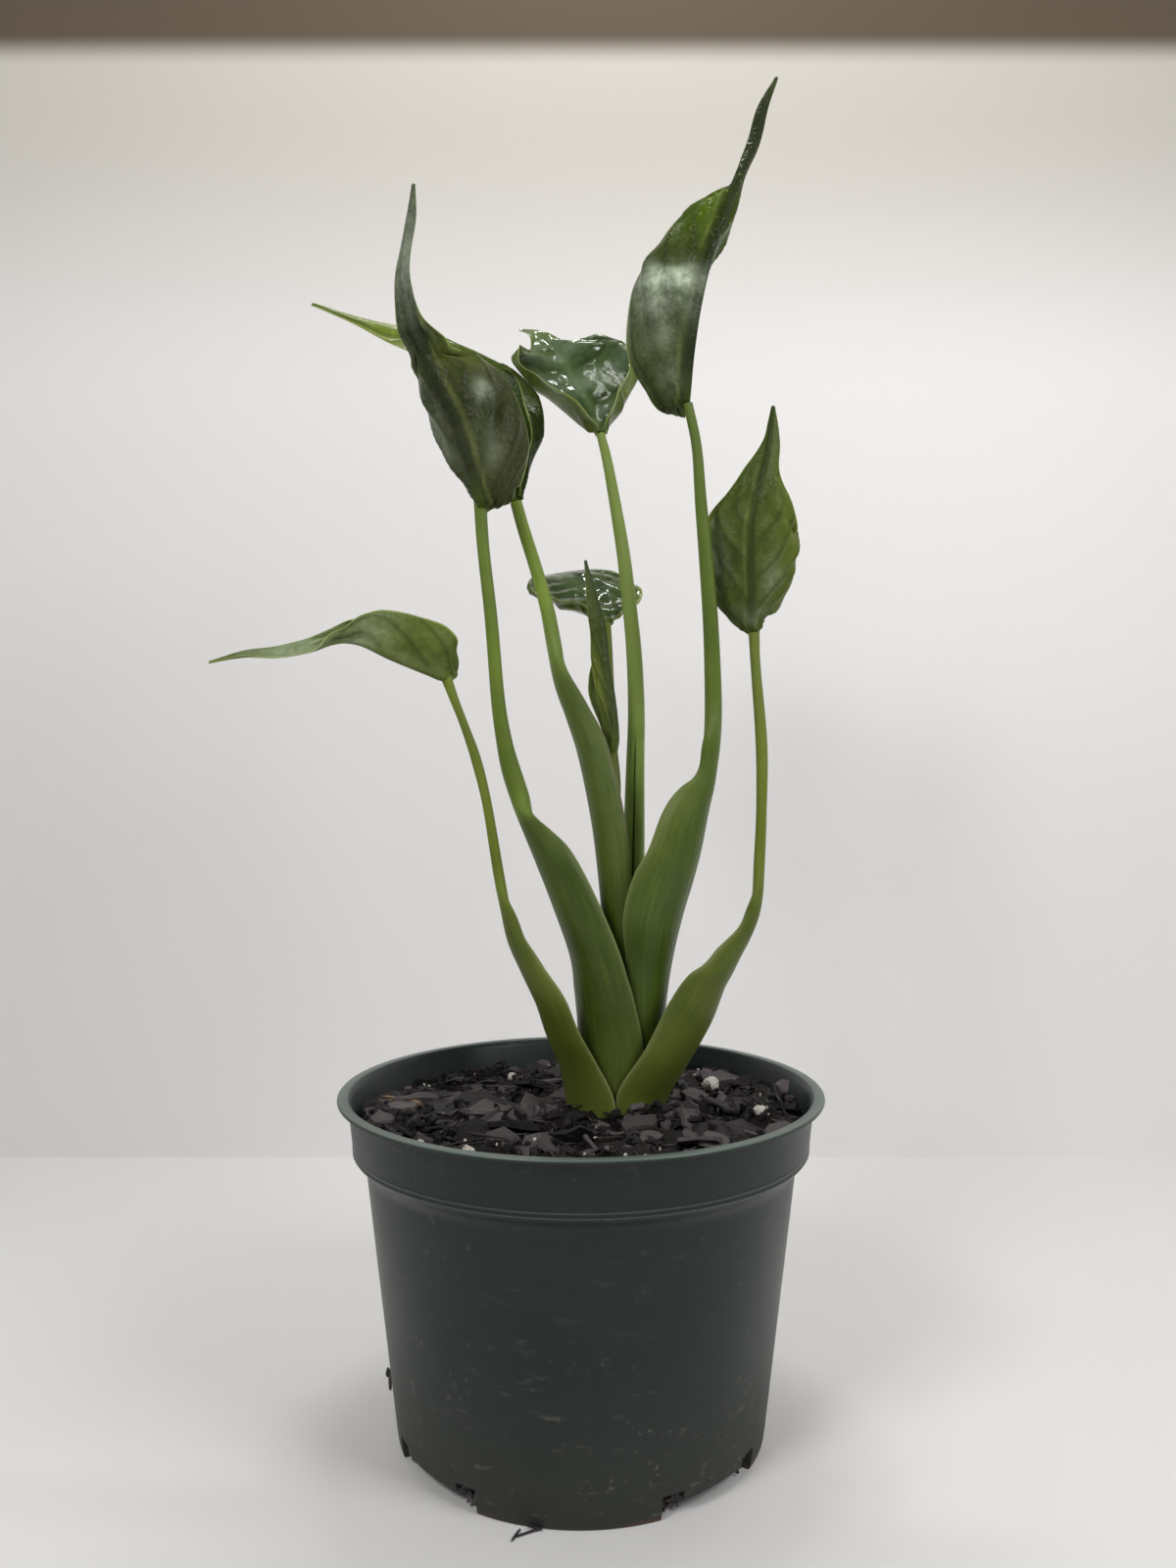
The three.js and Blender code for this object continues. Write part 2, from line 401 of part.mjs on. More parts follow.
// A row of points across a folded blade, left margin to right margin.
function foldedRow(leaf, u, shares) {
  const t = evenly(leaf.rib, u);
  const centre = vec(along(leaf.rib, t));
  const tan = vec(along(leaf.rib, t + 0.002)).sub(vec(along(leaf.rib, t - 0.002))).normalize();
  const [az, el] = profile(leaf.face, u).map((v) => v * RAD);
  const face = new THREE.Vector3(Math.sin(az) * Math.cos(el), Math.cos(az) * Math.cos(el), Math.sin(el));
  const up = face.addScaledVector(tan, -face.dot(tan)).normalize();
  const side = up.clone().cross(tan);
  const k = Math.min(u / leaf.base, 1);
  const round = Math.sqrt(1 - (1 - k) ** 2);
  return shares.map((v) => {
    const right = v > 0;
    const w = Math.max(profile(right ? leaf.right : leaf.left, u)[0] * round, 0.9);
    const [a0, a1] = profile(right ? leaf.foldR : leaf.foldL, u).map((a) => a * RAD);
    const turn = Math.abs(a1 - a0) < 1e-4 ? 1e-4 : a1 - a0;
    const s = Math.abs(v);
    const across = ((Math.sin(a0 + turn * s) - Math.sin(a0)) / turn) * w * Math.sign(v);
    const rise = ((Math.cos(a0) - Math.cos(a0 + turn * s)) / turn) * w;
    const back = (right ? leaf.lobeR : leaf.lobeL) * round * Math.max(1 - u / leaf.reach, 0) ** 2 * s * s;
    return centre.clone().addScaledVector(side, across).addScaledVector(up, rise).addScaledVector(tan, -back);
  });
}

// The same for a spread blade; its rows run the other way round.
function spreadRow(net, u, shares) {
  const row = net[0].map((_, j) => along(net.map((r) => r[j]), u));
  return shares.map((v) => vec(along(row, (1 - v) / 2)));
}

// A blade of two sheets and a rim, both sheets split into triangles alike.
function blade(id, grow = 0) {
  const rows = id === 'h' ? 11 : BLADE_ROWS;
  const half = id === 'h' ? 3 : BLADE_HALF_COLUMNS;
  const shares = [];
  for (let j = -half; j <= half; j += 1) {
    shares.push(j / half);
  }
  const grid = [];
  for (let i = 0; i < rows; i += 1) {
    const t = i / (rows - 1);
    const u = 0.55 * t + 0.225 * (1 - Math.cos(Math.PI * t));
    grid.push(FOLDED[id] ? foldedRow(FOLDED[id], u, shares) : spreadRow(SPREAD[id], u, shares));
  }
  const m = shares.length;
  const normal = (i, j) => {
    const du = grid[Math.min(i + 1, rows - 1)][j].clone().sub(grid[Math.max(i - 1, 0)][j]);
    const dv = grid[i][Math.min(j + 1, m - 1)].clone().sub(grid[i][Math.max(j - 1, 0)]);
    return du.cross(dv).normalize();
  };
  const points = [];
  for (const under of [false, true]) {
    for (let i = 0; i < rows; i += 1) {
      for (let j = 0; j < m; j += 1) {
        const edge = Math.abs(shares[j]);
        let t = (BLADE_T + (EDGE_T - BLADE_T) * edge) / 2 + grow;
        if (under && j === half) {
          t += RIB_T * (1 - i / rows);
        }
        const p = grid[i][j].clone().addScaledVector(normal(i, j), under ? -t : t);
        points.push([p.x, p.y, p.z]);
      }
    }
  }
  const faces = [];
  const below = rows * m;
  for (let i = 0; i + 1 < rows; i += 1) {
    for (let j = 0; j + 1 < m; j += 1) {
      const [p, q, r, s] = [i * m + j, i * m + j + 1, (i + 1) * m + j + 1, (i + 1) * m + j];
      faces.push([p, q, r], [p, r, s], [below + p, below + r, below + q], [below + p, below + s, below + r]);
    }
  }
  const wall = (p, q) => faces.push([p, below + p, below + q], [p, below + q, q]);
  for (let j = 0; j + 1 < m; j += 1) {
    wall(j, j + 1);
    wall((rows - 1) * m + j + 1, (rows - 1) * m + j);
  }
  for (let i = 0; i + 1 < rows; i += 1) {
    wall((i + 1) * m, i * m);
    wall(i * m + m - 1, (i + 1) * m + m - 1);
  }
  return solid(points, faces);
}

// A stalk: a rod that opens into a curved sheath towards its foot.
function stalk(id, grow = 0) {
  const rows = STALK[id];
  const rings = [];
  for (let i = 0; i <= STALK_ROWS; i += 1) {
    const t = i / STALK_ROWS;
    const [x, y, z, halfWidth, halfT, bend, open] = along(rows, t);
    const [ahead, behind] = [t + 0.001, t - 0.001].map((v) => vec(along(rows, v).slice(0, 3)));
    const tan = ahead.sub(behind).normalize();
    const out = new THREE.Vector3(Math.cos(open * RAD), Math.sin(open * RAD), 0);
    out.addScaledVector(tan, -out.dot(tan)).normalize();
    const across = tan.clone().cross(out);
    const ring = [];
    for (let j = 0; j < STALK_SIDES; j += 1) {
      const a = (j * 2 * Math.PI) / STALK_SIDES;
      const p = (halfWidth + grow) * Math.cos(a);
      const q = (halfT + grow) * Math.sign(Math.sin(a)) * Math.abs(Math.sin(a)) ** 0.8;
      const curved = bend > 0.001;
      const radius = curved ? 1 / bend : 1;
      const o = curved ? radius - (radius - q) * Math.cos(p / radius) : q;
      const c = curved ? (radius - q) * Math.sin(p / radius) : p;
      const v = new THREE.Vector3(x, y, z).addScaledVector(out, o).addScaledVector(across, c);
      ring.push([v.x, v.y, v.z]);
    }
    rings.push(ring);
  }
  return loft(rings, true);
}

// Height of the mix and of the crust on it.
function mixAt(x, y) {
  const r2 = (x - CROWN[0]) ** 2 + (y - CROWN[1]) ** 2;
  return MIX_TOP + MIX_SLOPE * x + MOUND * Math.exp(-r2 / (2 * MOUND_R ** 2))
    + 0.6 * Math.sin(x / 9 + 1) * Math.cos(y / 11) + 0.4 * Math.sin((x + y) / 6);
}

function crustAt(x, y) {
  return mixAt(x, y) + CLEAR + CRUST_T + 0.7 * Math.sin(x / 5 + y / 8) * Math.sin(y / 6 - x / 12);
}

// The pot from its foot to its lip, outside and inside: radius and height.
const OUTSIDE_ROWS = [[BASE_R - 0.8, 0], [BASE_R, 0.8], [SHOULDER_R, SHOULDER_Z], [73.6, 92.4],
  [75.3, 94.9], [BAND_FOOT_R, 96.3], [RIDGE_R, 96.8], [BAND_FOOT_R, 97.5], [RIDGE_R, 98.2],
  [BAND_FOOT_R + 0.1, 98.9], [BAND_TOP_R, POT_H - LIP_H], [LIP_R - 0.4, POT_H - LIP_H],
  [LIP_R, POT_H - LIP_H + 0.5], [LIP_R, POT_H - 0.5], [LIP_R - 0.5, POT_H]];
const CAVITY_ROWS = [[BASE_R - 2.6, FLOOR], [BASE_R - 1.6, FLOOR + 0.8], [SHOULDER_R - WALL, SHOULDER_Z + 0.6],
  [SHOULDER_R - 0.7, 92.9], [SHOULDER_R + 0.8, 95.4], [75.6, 97.3], [BAND_FOOT_R - WALL, 98.2],
  [BAND_TOP_R - WALL, POT_H - LIP_H - 0.1]];

function pot() {
  const outside = turned(OUTSIDE_ROWS);
  let hollow = turned([...CAVITY_ROWS, [LIP_INNER_R, POT_H], [LIP_INNER_R, POT_H + 1]]);
  for (const c of GAP_CENTRES) {
    const [from, to] = [c - GAP_HALF - GAP_WALL_TURN, c + GAP_HALF + GAP_WALL_TURN];
    hollow = hollow.subtract(sector(GAP_DEPTH_R - WALL, BEYOND_R, -1, GAP_H + WALL, from, to));
  }
  let shell = outside.subtract(hollow);
  for (const c of GAP_CENTRES) {
    shell = shell.subtract(sector(GAP_DEPTH_R, BEYOND_R, -1, GAP_H, c - GAP_HALF, c + GAP_HALF));
    for (const from of [c - GAP_HALF, c + GAP_HALF - DRAIN_WIDTH]) {
      shell = shell.subtract(sector(DRAIN_INNER_R, BEYOND_R, -1, DRAIN_TOP, from, from + DRAIN_WIDTH));
    }
  }
  return shell;
}

// Corm with stub roots, grown by a margin where its pocket is cut.
function corm(grow = 0) {
  const last = CORM_PROFILE.length - 1;
  const shift = (i) => (i === last ? grow : 0) - (i === 0 ? grow : 0);
  let body = turned(CORM_PROFILE.map(([r, z], i) => [r + grow, z + shift(i)]), STEM_HOLE, 16);
  for (const { turn, drop } of ROOTS) {
    const rings = [0, 0.5, 1].map((t) => {
      const reach = ROOT_REACH[0] + (ROOT_REACH[1] - ROOT_REACH[0]) * t;
      const x = STEM_HOLE[0] + reach * Math.cos(turn * RAD);
      const y = STEM_HOLE[1] + reach * Math.sin(turn * RAD);
      const z = ROOT_TOP - drop * t * t - (t === 1 ? grow : 0);
      const r = ROOT_R[0] + (ROOT_R[1] - ROOT_R[0]) * t + grow;
      return Array.from({ length: 6 }, (_, j) => {
        const a = j * 60 * RAD;
        return [x + r * Math.cos(a), y + r * Math.sin(a), z];
      });
    });
    body = body.add(loft(rings));
  }
  return body;
}

function mix() {
  const ringAt = (r, height) => Array.from({ length: POT_SIDES }, (_, j) => {
    const a = (j * 2 * Math.PI) / POT_SIDES;
    const [x, y] = [r * Math.cos(a), r * Math.sin(a)];
    return [x, y, height(x, y)];
  });
  const buried = CAVITY_ROWS.slice(0, -1);
  const rings = buried.map(([r, z], i) => ringAt(r - CLEAR - 0.1, () => z + (i < 2 ? CLEAR : 0)));
  for (const r of [MIX_EDGE_R, ...MIX_RINGS]) {
    rings.push(ringAt(r, mixAt));
  }
  let body = loft(rings);
  for (const c of GAP_CENTRES) {
    const turn = GAP_HALF + GAP_WALL_TURN + 0.5;
    const top = GAP_H + WALL + CLEAR;
    body = body.subtract(sector(GAP_DEPTH_R - WALL - CLEAR, BEYOND_R, -1, top, c - turn, c + turn));
  }
  body = body.subtract(corm(POCKET_CLEAR));
  return body.subtract(stemHole(CORM_TOP - 0.6));
}

// The plain hole round the crown, from a height up.
function stemHole(from) {
  return turned([[STEM_HOLE_R, from], [STEM_HOLE_R + 0.6, POT_H + 10]], STEM_HOLE, 24);
}

// A bark chip: an uneven six-sided plate, turned and tilted.
function chip(at, size, turn, tilt, random) {
  const [length, width, thick] = size;
  const place = new THREE.Matrix4().makeTranslation(...at)
    .multiply(new THREE.Matrix4().makeRotationZ(turn * RAD))
    .multiply(new THREE.Matrix4().makeRotationX(tilt * RAD));
  const outline = Array.from({ length: 6 }, (_, j) => {
    const a = (j * 60 + 24 * random()) * RAD;
    return [(length / 2) * Math.cos(a), (width / 2) * Math.sin(a)];
  });
  const ring = (s, h) => outline.map(([p, q]) => vec([p * s, q * s, h]).applyMatrix4(place).toArray());
  return loft([ring(1, -thick / 2), ring(0.9, thick / 2)]);
}

function grain(x, y, r, grow, seed) {
  const random = seeded(seed);
  const shape = new THREE.IcosahedronGeometry(1, 0);
  const at = shape.getAttribute('position');
  const points = [];
  const keys = new Map();
  const faces = [];
  const index = [];
  for (let i = 0; i < at.count; i += 1) {
    const v = [at.getX(i), at.getY(i), at.getZ(i)];
    const key = v.map((c) => c.toFixed(3)).join(' ');
    if (!keys.has(key)) {
      const s = r * (0.82 + 0.36 * random()) + grow;
      keys.set(key, points.length);
      points.push([x + v[0] * s, y + v[1] * s, crustAt(x, y) + 0.5 * r + v[2] * s * 0.85]);
    }
    index.push(keys.get(key));
  }
  for (let i = 0; i < index.length; i += 3) {
    faces.push([index[i], index[i + 1], index[i + 2]]);
  }
  return solid(points, faces);
}

function bark() {
  const ringAt = (r, height) => Array.from({ length: CRUST_SIDES }, (_, j) => {
    const a = (j * 2 * Math.PI) / CRUST_SIDES;
    const x = CROWN[0] * Math.max(1 - r / 60, 0) + r * Math.cos(a);
    const y = CROWN[1] * Math.max(1 - r / 60, 0) + r * Math.sin(a);
    return [x, y, height(x, y)];
  });
  const floor = (x, y) => mixAt(x, y) + CRUST_FLOOR;
  let body = loft([...CRUST_RINGS.map((r) => ringAt(r, floor)), ringAt(CRUST_R, floor),
    ringAt(CRUST_R - 1.4, crustAt), ...CRUST_RINGS.toReversed().map((r) => ringAt(r, crustAt))]);
  const random = seeded(7);
  const near = (x, y) => PERLITE.some(([px, py, r]) => Math.hypot(px - x, py - y) < r + 9);
  for (let n = 0; n < CHIP_COUNT; n += 1) {
    const r = 25 + 43 * Math.sqrt(random());
    const a = n * 137.5 * RAD;
    const [x, y] = [r * Math.cos(a), r * Math.sin(a)];
    const size = [8 + 8 * random(), 5 + 4 * random(), CHIP_T];
    const [turn, tilt] = [360 * random(), 26 * random() - 13];
    if (!near(x, y) && Math.hypot(x, y) + size[0] / 2 < CRUST_R) {
      body = body.add(chip([x, y, crustAt(x, y) + 0.5], size, turn, tilt, random));
    }
  }
  for (const [x, y, length, width, thick, turn, tilt, lift] of NAMED_CHIPS) {
    body = body.add(chip([x, y, crustAt(x, y) + lift - 0.6], [length, width, thick], turn, tilt, random));
  }
  body = body.subtract(stemHole(90));
  PERLITE.forEach(([x, y, r], i) => {
    body = body.subtract(grain(x, y, r, POCKET_CLEAR, 11 + i));
  });
  return largest(body);
}

const LEAF_GREEN = 0x3f5a35;
const STALK_GREEN = 0x6f8f45;

function build() {
  const group = new THREE.Group();
  group.name = 'potted_alocasia';
  group.add(meshOf('pot', pot(), 0x2f4a3d, 0.55));
  group.add(meshOf('potting_mix', mix(), 0x2c231d, 0.95));
  group.add(meshOf('bark_mulch', bark(), 0x4a372f, 0.9));
  PERLITE.forEach(([x, y, r], i) => {
    group.add(meshOf(`perlite_${i + 1}`, grain(x, y, r, 0, 11 + i), 0xe8e4da, 0.8));
  });
  group.add(meshOf('corm', corm(), 0x7a6a45, 0.8));
  const made = [];
  const add = (name, body, grown, colour, roughness) => {
    let own = body;
    const box = own.boundingBox();
    for (const other of made) {
      const apart = [0, 1, 2].some((k) => box.min[k] > other.box.max[k] || box.max[k] < other.box.min[k]);
      if (!apart) {
        own = own.subtract(other.grown);
      }
    }
    made.push({ grown, box: grown.boundingBox() });
    group.add(meshOf(name, largest(own), colour, roughness));
  };
  for (const id of ['e', 'b', 'f', 'a', 'd', 'g', 'c', 'h']) {
    add(`blade_${id}`, blade(id), blade(id, CLEAR), LEAF_GREEN, 0.45);
  }
  for (const id of ['a', 'f', 'b', 'e', 'c', 'd', 'g', 'h']) {
    add(`petiole_${id}`, stalk(id), stalk(id, CLEAR), STALK_GREEN, 0.5);
  }
  return group;
}

export default build();
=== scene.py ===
"""Potted tiny dancer alocasia: the finished looks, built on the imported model."""
import math

import bpy
import numpy as np
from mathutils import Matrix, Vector


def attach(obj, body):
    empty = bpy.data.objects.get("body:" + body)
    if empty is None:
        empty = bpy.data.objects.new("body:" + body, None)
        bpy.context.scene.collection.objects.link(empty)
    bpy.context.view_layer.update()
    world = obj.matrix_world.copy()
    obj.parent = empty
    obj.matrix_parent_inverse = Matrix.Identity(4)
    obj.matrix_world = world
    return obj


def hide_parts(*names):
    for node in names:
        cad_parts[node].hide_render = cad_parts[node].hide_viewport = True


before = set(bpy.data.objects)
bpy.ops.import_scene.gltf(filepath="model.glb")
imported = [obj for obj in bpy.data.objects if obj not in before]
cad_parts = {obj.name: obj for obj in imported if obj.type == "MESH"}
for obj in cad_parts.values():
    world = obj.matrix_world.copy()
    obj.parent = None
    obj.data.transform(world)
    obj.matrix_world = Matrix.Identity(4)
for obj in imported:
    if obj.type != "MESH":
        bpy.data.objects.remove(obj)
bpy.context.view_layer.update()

MM = 0.001

# Blades folded about a midrib, in millimetres. rib: points along it. face: share along the rib,
# then the way the upper side looks (degrees round from +Y to +X, degrees up). left, right: share
# and half width on the arc. fold: share, then the turn out of the rib's plane at the rib and at the
# margin.
FOLDED = {
    "a": {
        "rib": [[-43.5, -11, 255.6], [-45.9, -16, 254.5], [-50, -19, 255.8], [-55.5, -21, 257.9],
                [-62.9, -23, 260.9], [-70.5, -25, 264.5], [-75.7, -26, 265.6], [-80.6, -27, 264.8],
                [-88, -28, 262], [-98.4, -29, 260.2], [-108.5, -29, 260.2], [-119.8, -28, 257.8]],
        "face": [[0, -10, 60], [0.12, -5, 60], [0.4, 0, 65], [0.5, 180, 75], [0.6, 180, 45],
                 [1, 180, 45]],
        "left": [[0, 14], [0.1, 18], [0.2, 20], [0.3, 19], [0.38, 15], [0.45, 8], [0.5, 5],
                 [0.6, 4], [0.75, 2.8], [0.88, 1.2], [1, 0.4]],
        "right": [[0, 9.6], [0.1, 15.9], [0.2, 16.6], [0.3, 15.8], [0.38, 13.1], [0.43, 9],
                  [0.48, 4.5], [0.6, 4.5], [0.75, 3.2], [0.88, 1.2], [1, 0.4]],
        "fold_left": [[0, 15, 80], [0.12, 35, 95], [0.4, 40, 105], [0.5, 40, 60], [0.6, 25, 30],
                      [1, 30, 40]],
        "fold_right": [[0, 15, 70], [0.12, 30, 80], [0.4, 35, 95], [0.5, 40, 60], [0.6, 25, 30],
                       [1, 30, 40]],
        "base": 0.2, "lobes": (6, 6),
    },
    "b": {
        "rib": [[-32.6, -8, 312.5], [-34.3, -15, 315.7], [-39.2, -21, 331.9], [-45.9, -26, 347],
                [-51.1, -30, 358.8], [-54.4, -33, 369], [-56.2, -34, 380.1], [-54.9, -34, 392.9],
                [-53.4, -32, 410.1]],
        "face": [[0, 18, 10], [0.12, 18, 0], [0.5, 18, -5], [1, 15, -5]],
        "left": [[0, 4], [0.1, 11], [0.2, 21.5], [0.3, 20.7], [0.4, 18.7], [0.46, 12], [0.5, 5.4],
                 [0.58, 6.4], [0.7, 4.8], [0.8, 2.9], [0.9, 1.4], [1, 0.6]],
        "right": [[0, 20], [0.1, 22.8], [0.2, 30], [0.3, 33], [0.38, 30], [0.44, 25], [0.48, 10],
                  [0.52, 8.8], [0.6, 3.6], [0.7, 2.2], [0.8, 1.6], [0.9, 2], [1, 0.6]],
        "fold_left": [[0, 10, 90], [0.12, 10, 105], [0.38, 10, 112], [0.455, 15, 100],
                      [0.5, 20, 10], [0.7, 25, 30], [1, 20, 30]],
        "fold_right": [[0, 5, 80], [0.12, 12, 95], [0.38, 15, 100], [0.455, 20, 90], [0.51, 5, -15],
                       [0.7, 20, 30], [1, 20, 30]],
        "base": 0.2, "lobes": (4, 9),
    },
    "e": {
        "rib": [[34.3, -12, 343.8], [34.6, -20, 347.1], [35.4, -26, 358.4], [37.3, -29, 371.2],
                [40.4, -30, 384.4], [44.6, -29, 397.4], [49.4, -26, 410.3], [53.6, -23, 421.2],
                [57.6, -20, 431.2], [60.8, -18, 443.4], [65, -17, 453.4]],
        "face": [[0, -38, 10], [0.12, -38, 0], [0.6, -38, -5], [0.75, -20, 0], [1, 0, 0]],
        "left": [[0, 14.8], [0.1, 21.9], [0.2, 25.7], [0.32, 28.8], [0.38, 28.4], [0.43, 26.8],
                 [0.5, 22.5], [0.55, 18.5], [0.58, 15.2], [0.6, 11.8], [0.615, 8.2], [0.628, 4.6],
                 [0.638, 1.9], [0.7, 1.8], [0.8, 2.5], [0.9, 2.4], [1, 0.5]],
        "right": [[0, 18], [0.1, 22], [0.2, 26], [0.32, 27], [0.43, 26], [0.53, 20], [0.6, 13],
                  [0.66, 7], [0.7, 4], [0.8, 3], [0.9, 2], [1, 0.6]],
        "fold_left": [[0, 10, 90], [0.12, 25, 105], [0.45, 32, 115], [0.6, 32, 100], [0.7, 30, 50],
                      [1, 30, 40]],
        "fold_right": [[0, 15, 90], [0.12, 45, 115], [0.36, 48, 125], [0.5, 25, 110],
                       [0.62, 18, 90], [0.72, 40, 60], [1, 30, 40]],
        "base": 0.2, "lobes": (2, 6),
    },
    "f": {
        "rib": [[59, -2, 271.7], [57.8, -8, 275.2], [57.2, -13, 284.3], [56.8, -16, 296.9],
                [57.1, -18, 306.8], [59.4, -18, 318.2], [62.3, -16, 330.8], [64.4, -13, 345.3]],
        "face": [[0, 0, 10], [0.15, 0, 0], [0.6, 3, 0], [1, 10, 0]],
        "left": [[0, 8.1], [0.1, 17], [0.25, 20.3], [0.4, 24.1], [0.5, 22.7], [0.6, 11.9],
                 [0.72, 6.7], [0.85, 2], [0.93, 1.2], [1, 0.6]],
        "right": [[0, 14], [0.1, 17], [0.25, 24.5], [0.4, 27.5], [0.5, 22.1], [0.6, 15.9],
                  [0.72, 6.2], [0.85, 3.8], [0.93, 2.3], [1, 0.6]],
        "fold_left": [[0, 0, 80], [0.15, 12, 85], [0.45, 15, 90], [0.65, 15, 40], [1, 20, 30]],
        "fold_right": [[0, 0, 80], [0.15, 12, 75], [0.45, 15, 75], [0.65, 15, 40], [1, 20, 30]],
        "base": 0.22, "lobes": (2, 5),
    },
    "h": {
        "rib": [[11, 8, 230.5], [11.5, 8, 236.1], [10.3, 9, 249.3], [8.4, 10, 262.2],
                [7.4, 11, 274.5], [4.1, 12, 286.9], [1.5, 13, 298.6]],
        "face": [[0, -80, 0], [0.5, -80, 0], [1, -85, 0]],
        "left": [[0, 2.9], [0.15, 3.8], [0.35, 4.9], [0.5, 4.8], [0.7, 4.2], [0.85, 2], [1, 0.6]],
        "right": [[0, 2], [0.15, 5.1], [0.3, 7.8], [0.4, 6.8], [0.5, 4.2], [0.7, 4], [0.85, 2.2],
                  [1, 0.6]],
        "fold_left": [[0, 65, 100], [1, 65, 100]],
        "fold_right": [[0, 70, 100], [1, 70, 100]],
        "base": 0.1, "lobes": (0, 0),
    },
}

# Blades that show their upper side, as rows of five points from margin to margin, base to tip.
SPREAD = {
    "c": [
        [[-23.5, 6, 319.6], [-23.9, 7, 319.2], [-22.8, 7, 318.8], [-21.8, 7, 319.5],
         [-22.1, 6, 320]],
        [[-27.7, 2, 322], [-32.2, 8, 325], [-25.4, 14, 326.9], [-18.1, 9, 331.8],
         [-20.6, 3, 328.8]],
        [[-37.7, 0, 332.1], [-42.7, 9, 338.4], [-32.2, 20, 340.6], [-14.5, 14, 345.9],
         [-18, 6, 341.3]],
        [[-44.7, 2, 346.6], [-49.4, 12, 353.3], [-38.6, 24, 353.2], [-16.9, 20, 358.7],
         [-20.5, 14, 355]],
        [[-48.6, 6, 357.9], [-53.5, 17, 365.5], [-45.4, 27, 365.8], [-27.3, 26, 371.2],
         [-25.7, 24, 369.1]],
        [[-54.5, 14, 367.6], [-57, 22, 373.4], [-52.4, 28, 375.2], [-43.7, 31, 381],
         [-41, 33, 381.1]],
        [[-62, 22, 376.2], [-61.9, 26, 380.3], [-60.6, 29, 381.8], [-56.2, 32, 385.8],
         [-54.3, 34, 387.7]],
        [[-72, 26, 382.1], [-72.4, 28, 383.9], [-71.8, 29, 385.4], [-70, 31, 388.4],
         [-69.2, 33, 390.6]],
        [[-83.6, 28, 389], [-83.8, 29, 390.1], [-83.5, 29, 390.9], [-82.9, 30, 392],
         [-82.4, 31, 392.8]],
        [[-100, 27.6, 396], [-100, 27.8, 396.3], [-100, 28, 396.6], [-99.8, 28.2, 396.9],
         [-99.6, 28.4, 397.2]],
    ],
    "d": [
        [[6.3, 25, 348.9], [5.9, 26, 348.4], [7, 26, 348.4], [8.1, 26, 348.4], [8.1, 25, 348.9]],
        [[3.1, 20, 352.7], [0.5, 27, 351.3], [5.3, 31, 356.2], [12.8, 27, 354.9],
         [10.2, 21, 354.1]],
        [[-4.7, 17, 358.8], [-11, 27, 360.3], [0.5, 37, 366.6], [17.3, 30, 364.6],
         [13.8, 22, 363.3]],
        [[-14.3, 18, 365.2], [-19.7, 27, 367.9], [-4, 42, 375.4], [19.3, 36, 375.9],
         [17.3, 32, 373.4]],
        [[-21.6, 21, 371.6], [-24.4, 27, 375.6], [-7.5, 45, 382.1], [12.8, 42, 386.7],
         [16.5, 41, 385.9]],
        [[-22.9, 26, 380.6], [-20.4, 33, 380], [-11.6, 46, 387.4], [0.4, 48, 390.8],
         [6.9, 48, 393.1]],
        [[-19.6, 38, 382.5], [-18.3, 43, 387], [-15.5, 47, 390.4], [-9.1, 49, 391.6],
         [-4.1, 50, 390.8]],
        [[-19.8, 44, 391.2], [-19.9, 46, 392.3], [-19.3, 48, 393.9], [-17.4, 49, 394.6],
         [-14.8, 50, 395]],
        [[-24.3, 48.6, 394.8], [-24.3, 48.8, 395], [-24.3, 49, 395.2], [-24.3, 49.2, 395.5],
         [-24.3, 49.4, 395.8]],
    ],
    "g": [
        [[9.5, 45, 281.8], [9.1, 46, 281.2], [9.9, 46, 281.2], [10.6, 46, 281.6],
         [10.6, 45, 281.8]],
        [[3.1, 36, 285], [1.6, 43, 283.4], [6.5, 50, 287.1], [16, 50, 286.4], [18.4, 48, 287.4]],
        [[-5.7, 33, 287.8], [-9.6, 42, 287.8], [2.3, 56, 293.4], [14, 58, 294.6],
         [23.8, 58, 293.8]],
        [[-12.4, 34, 289.1], [-16.4, 42, 290.8], [-1.5, 60, 298], [7, 64, 301.4],
         [19.4, 68, 301.4]],
        [[-17.6, 37, 291.4], [-19.8, 44, 294.1], [-5.9, 62, 301.1], [0, 68, 304.5],
         [8.7, 73, 306.6]],
        [[-19.8, 44, 295.6], [-19.3, 49, 298.7], [-12.1, 61, 302.1], [-7.9, 68, 304.5],
         [-3.3, 73, 306.2]],
        [[-20.6, 52, 298.5], [-20.3, 54, 299.6], [-19.3, 56, 300.4], [-17.8, 58, 301.1],
         [-16.3, 60, 301.5]],
    ],
}


def rods(turn, *rows):
    """Rows of a plain round stalk, each its centre and radius, whose open side faces turn."""
    return [[x, y, z, radius, radius, 0, turn] for x, y, z, radius in rows]


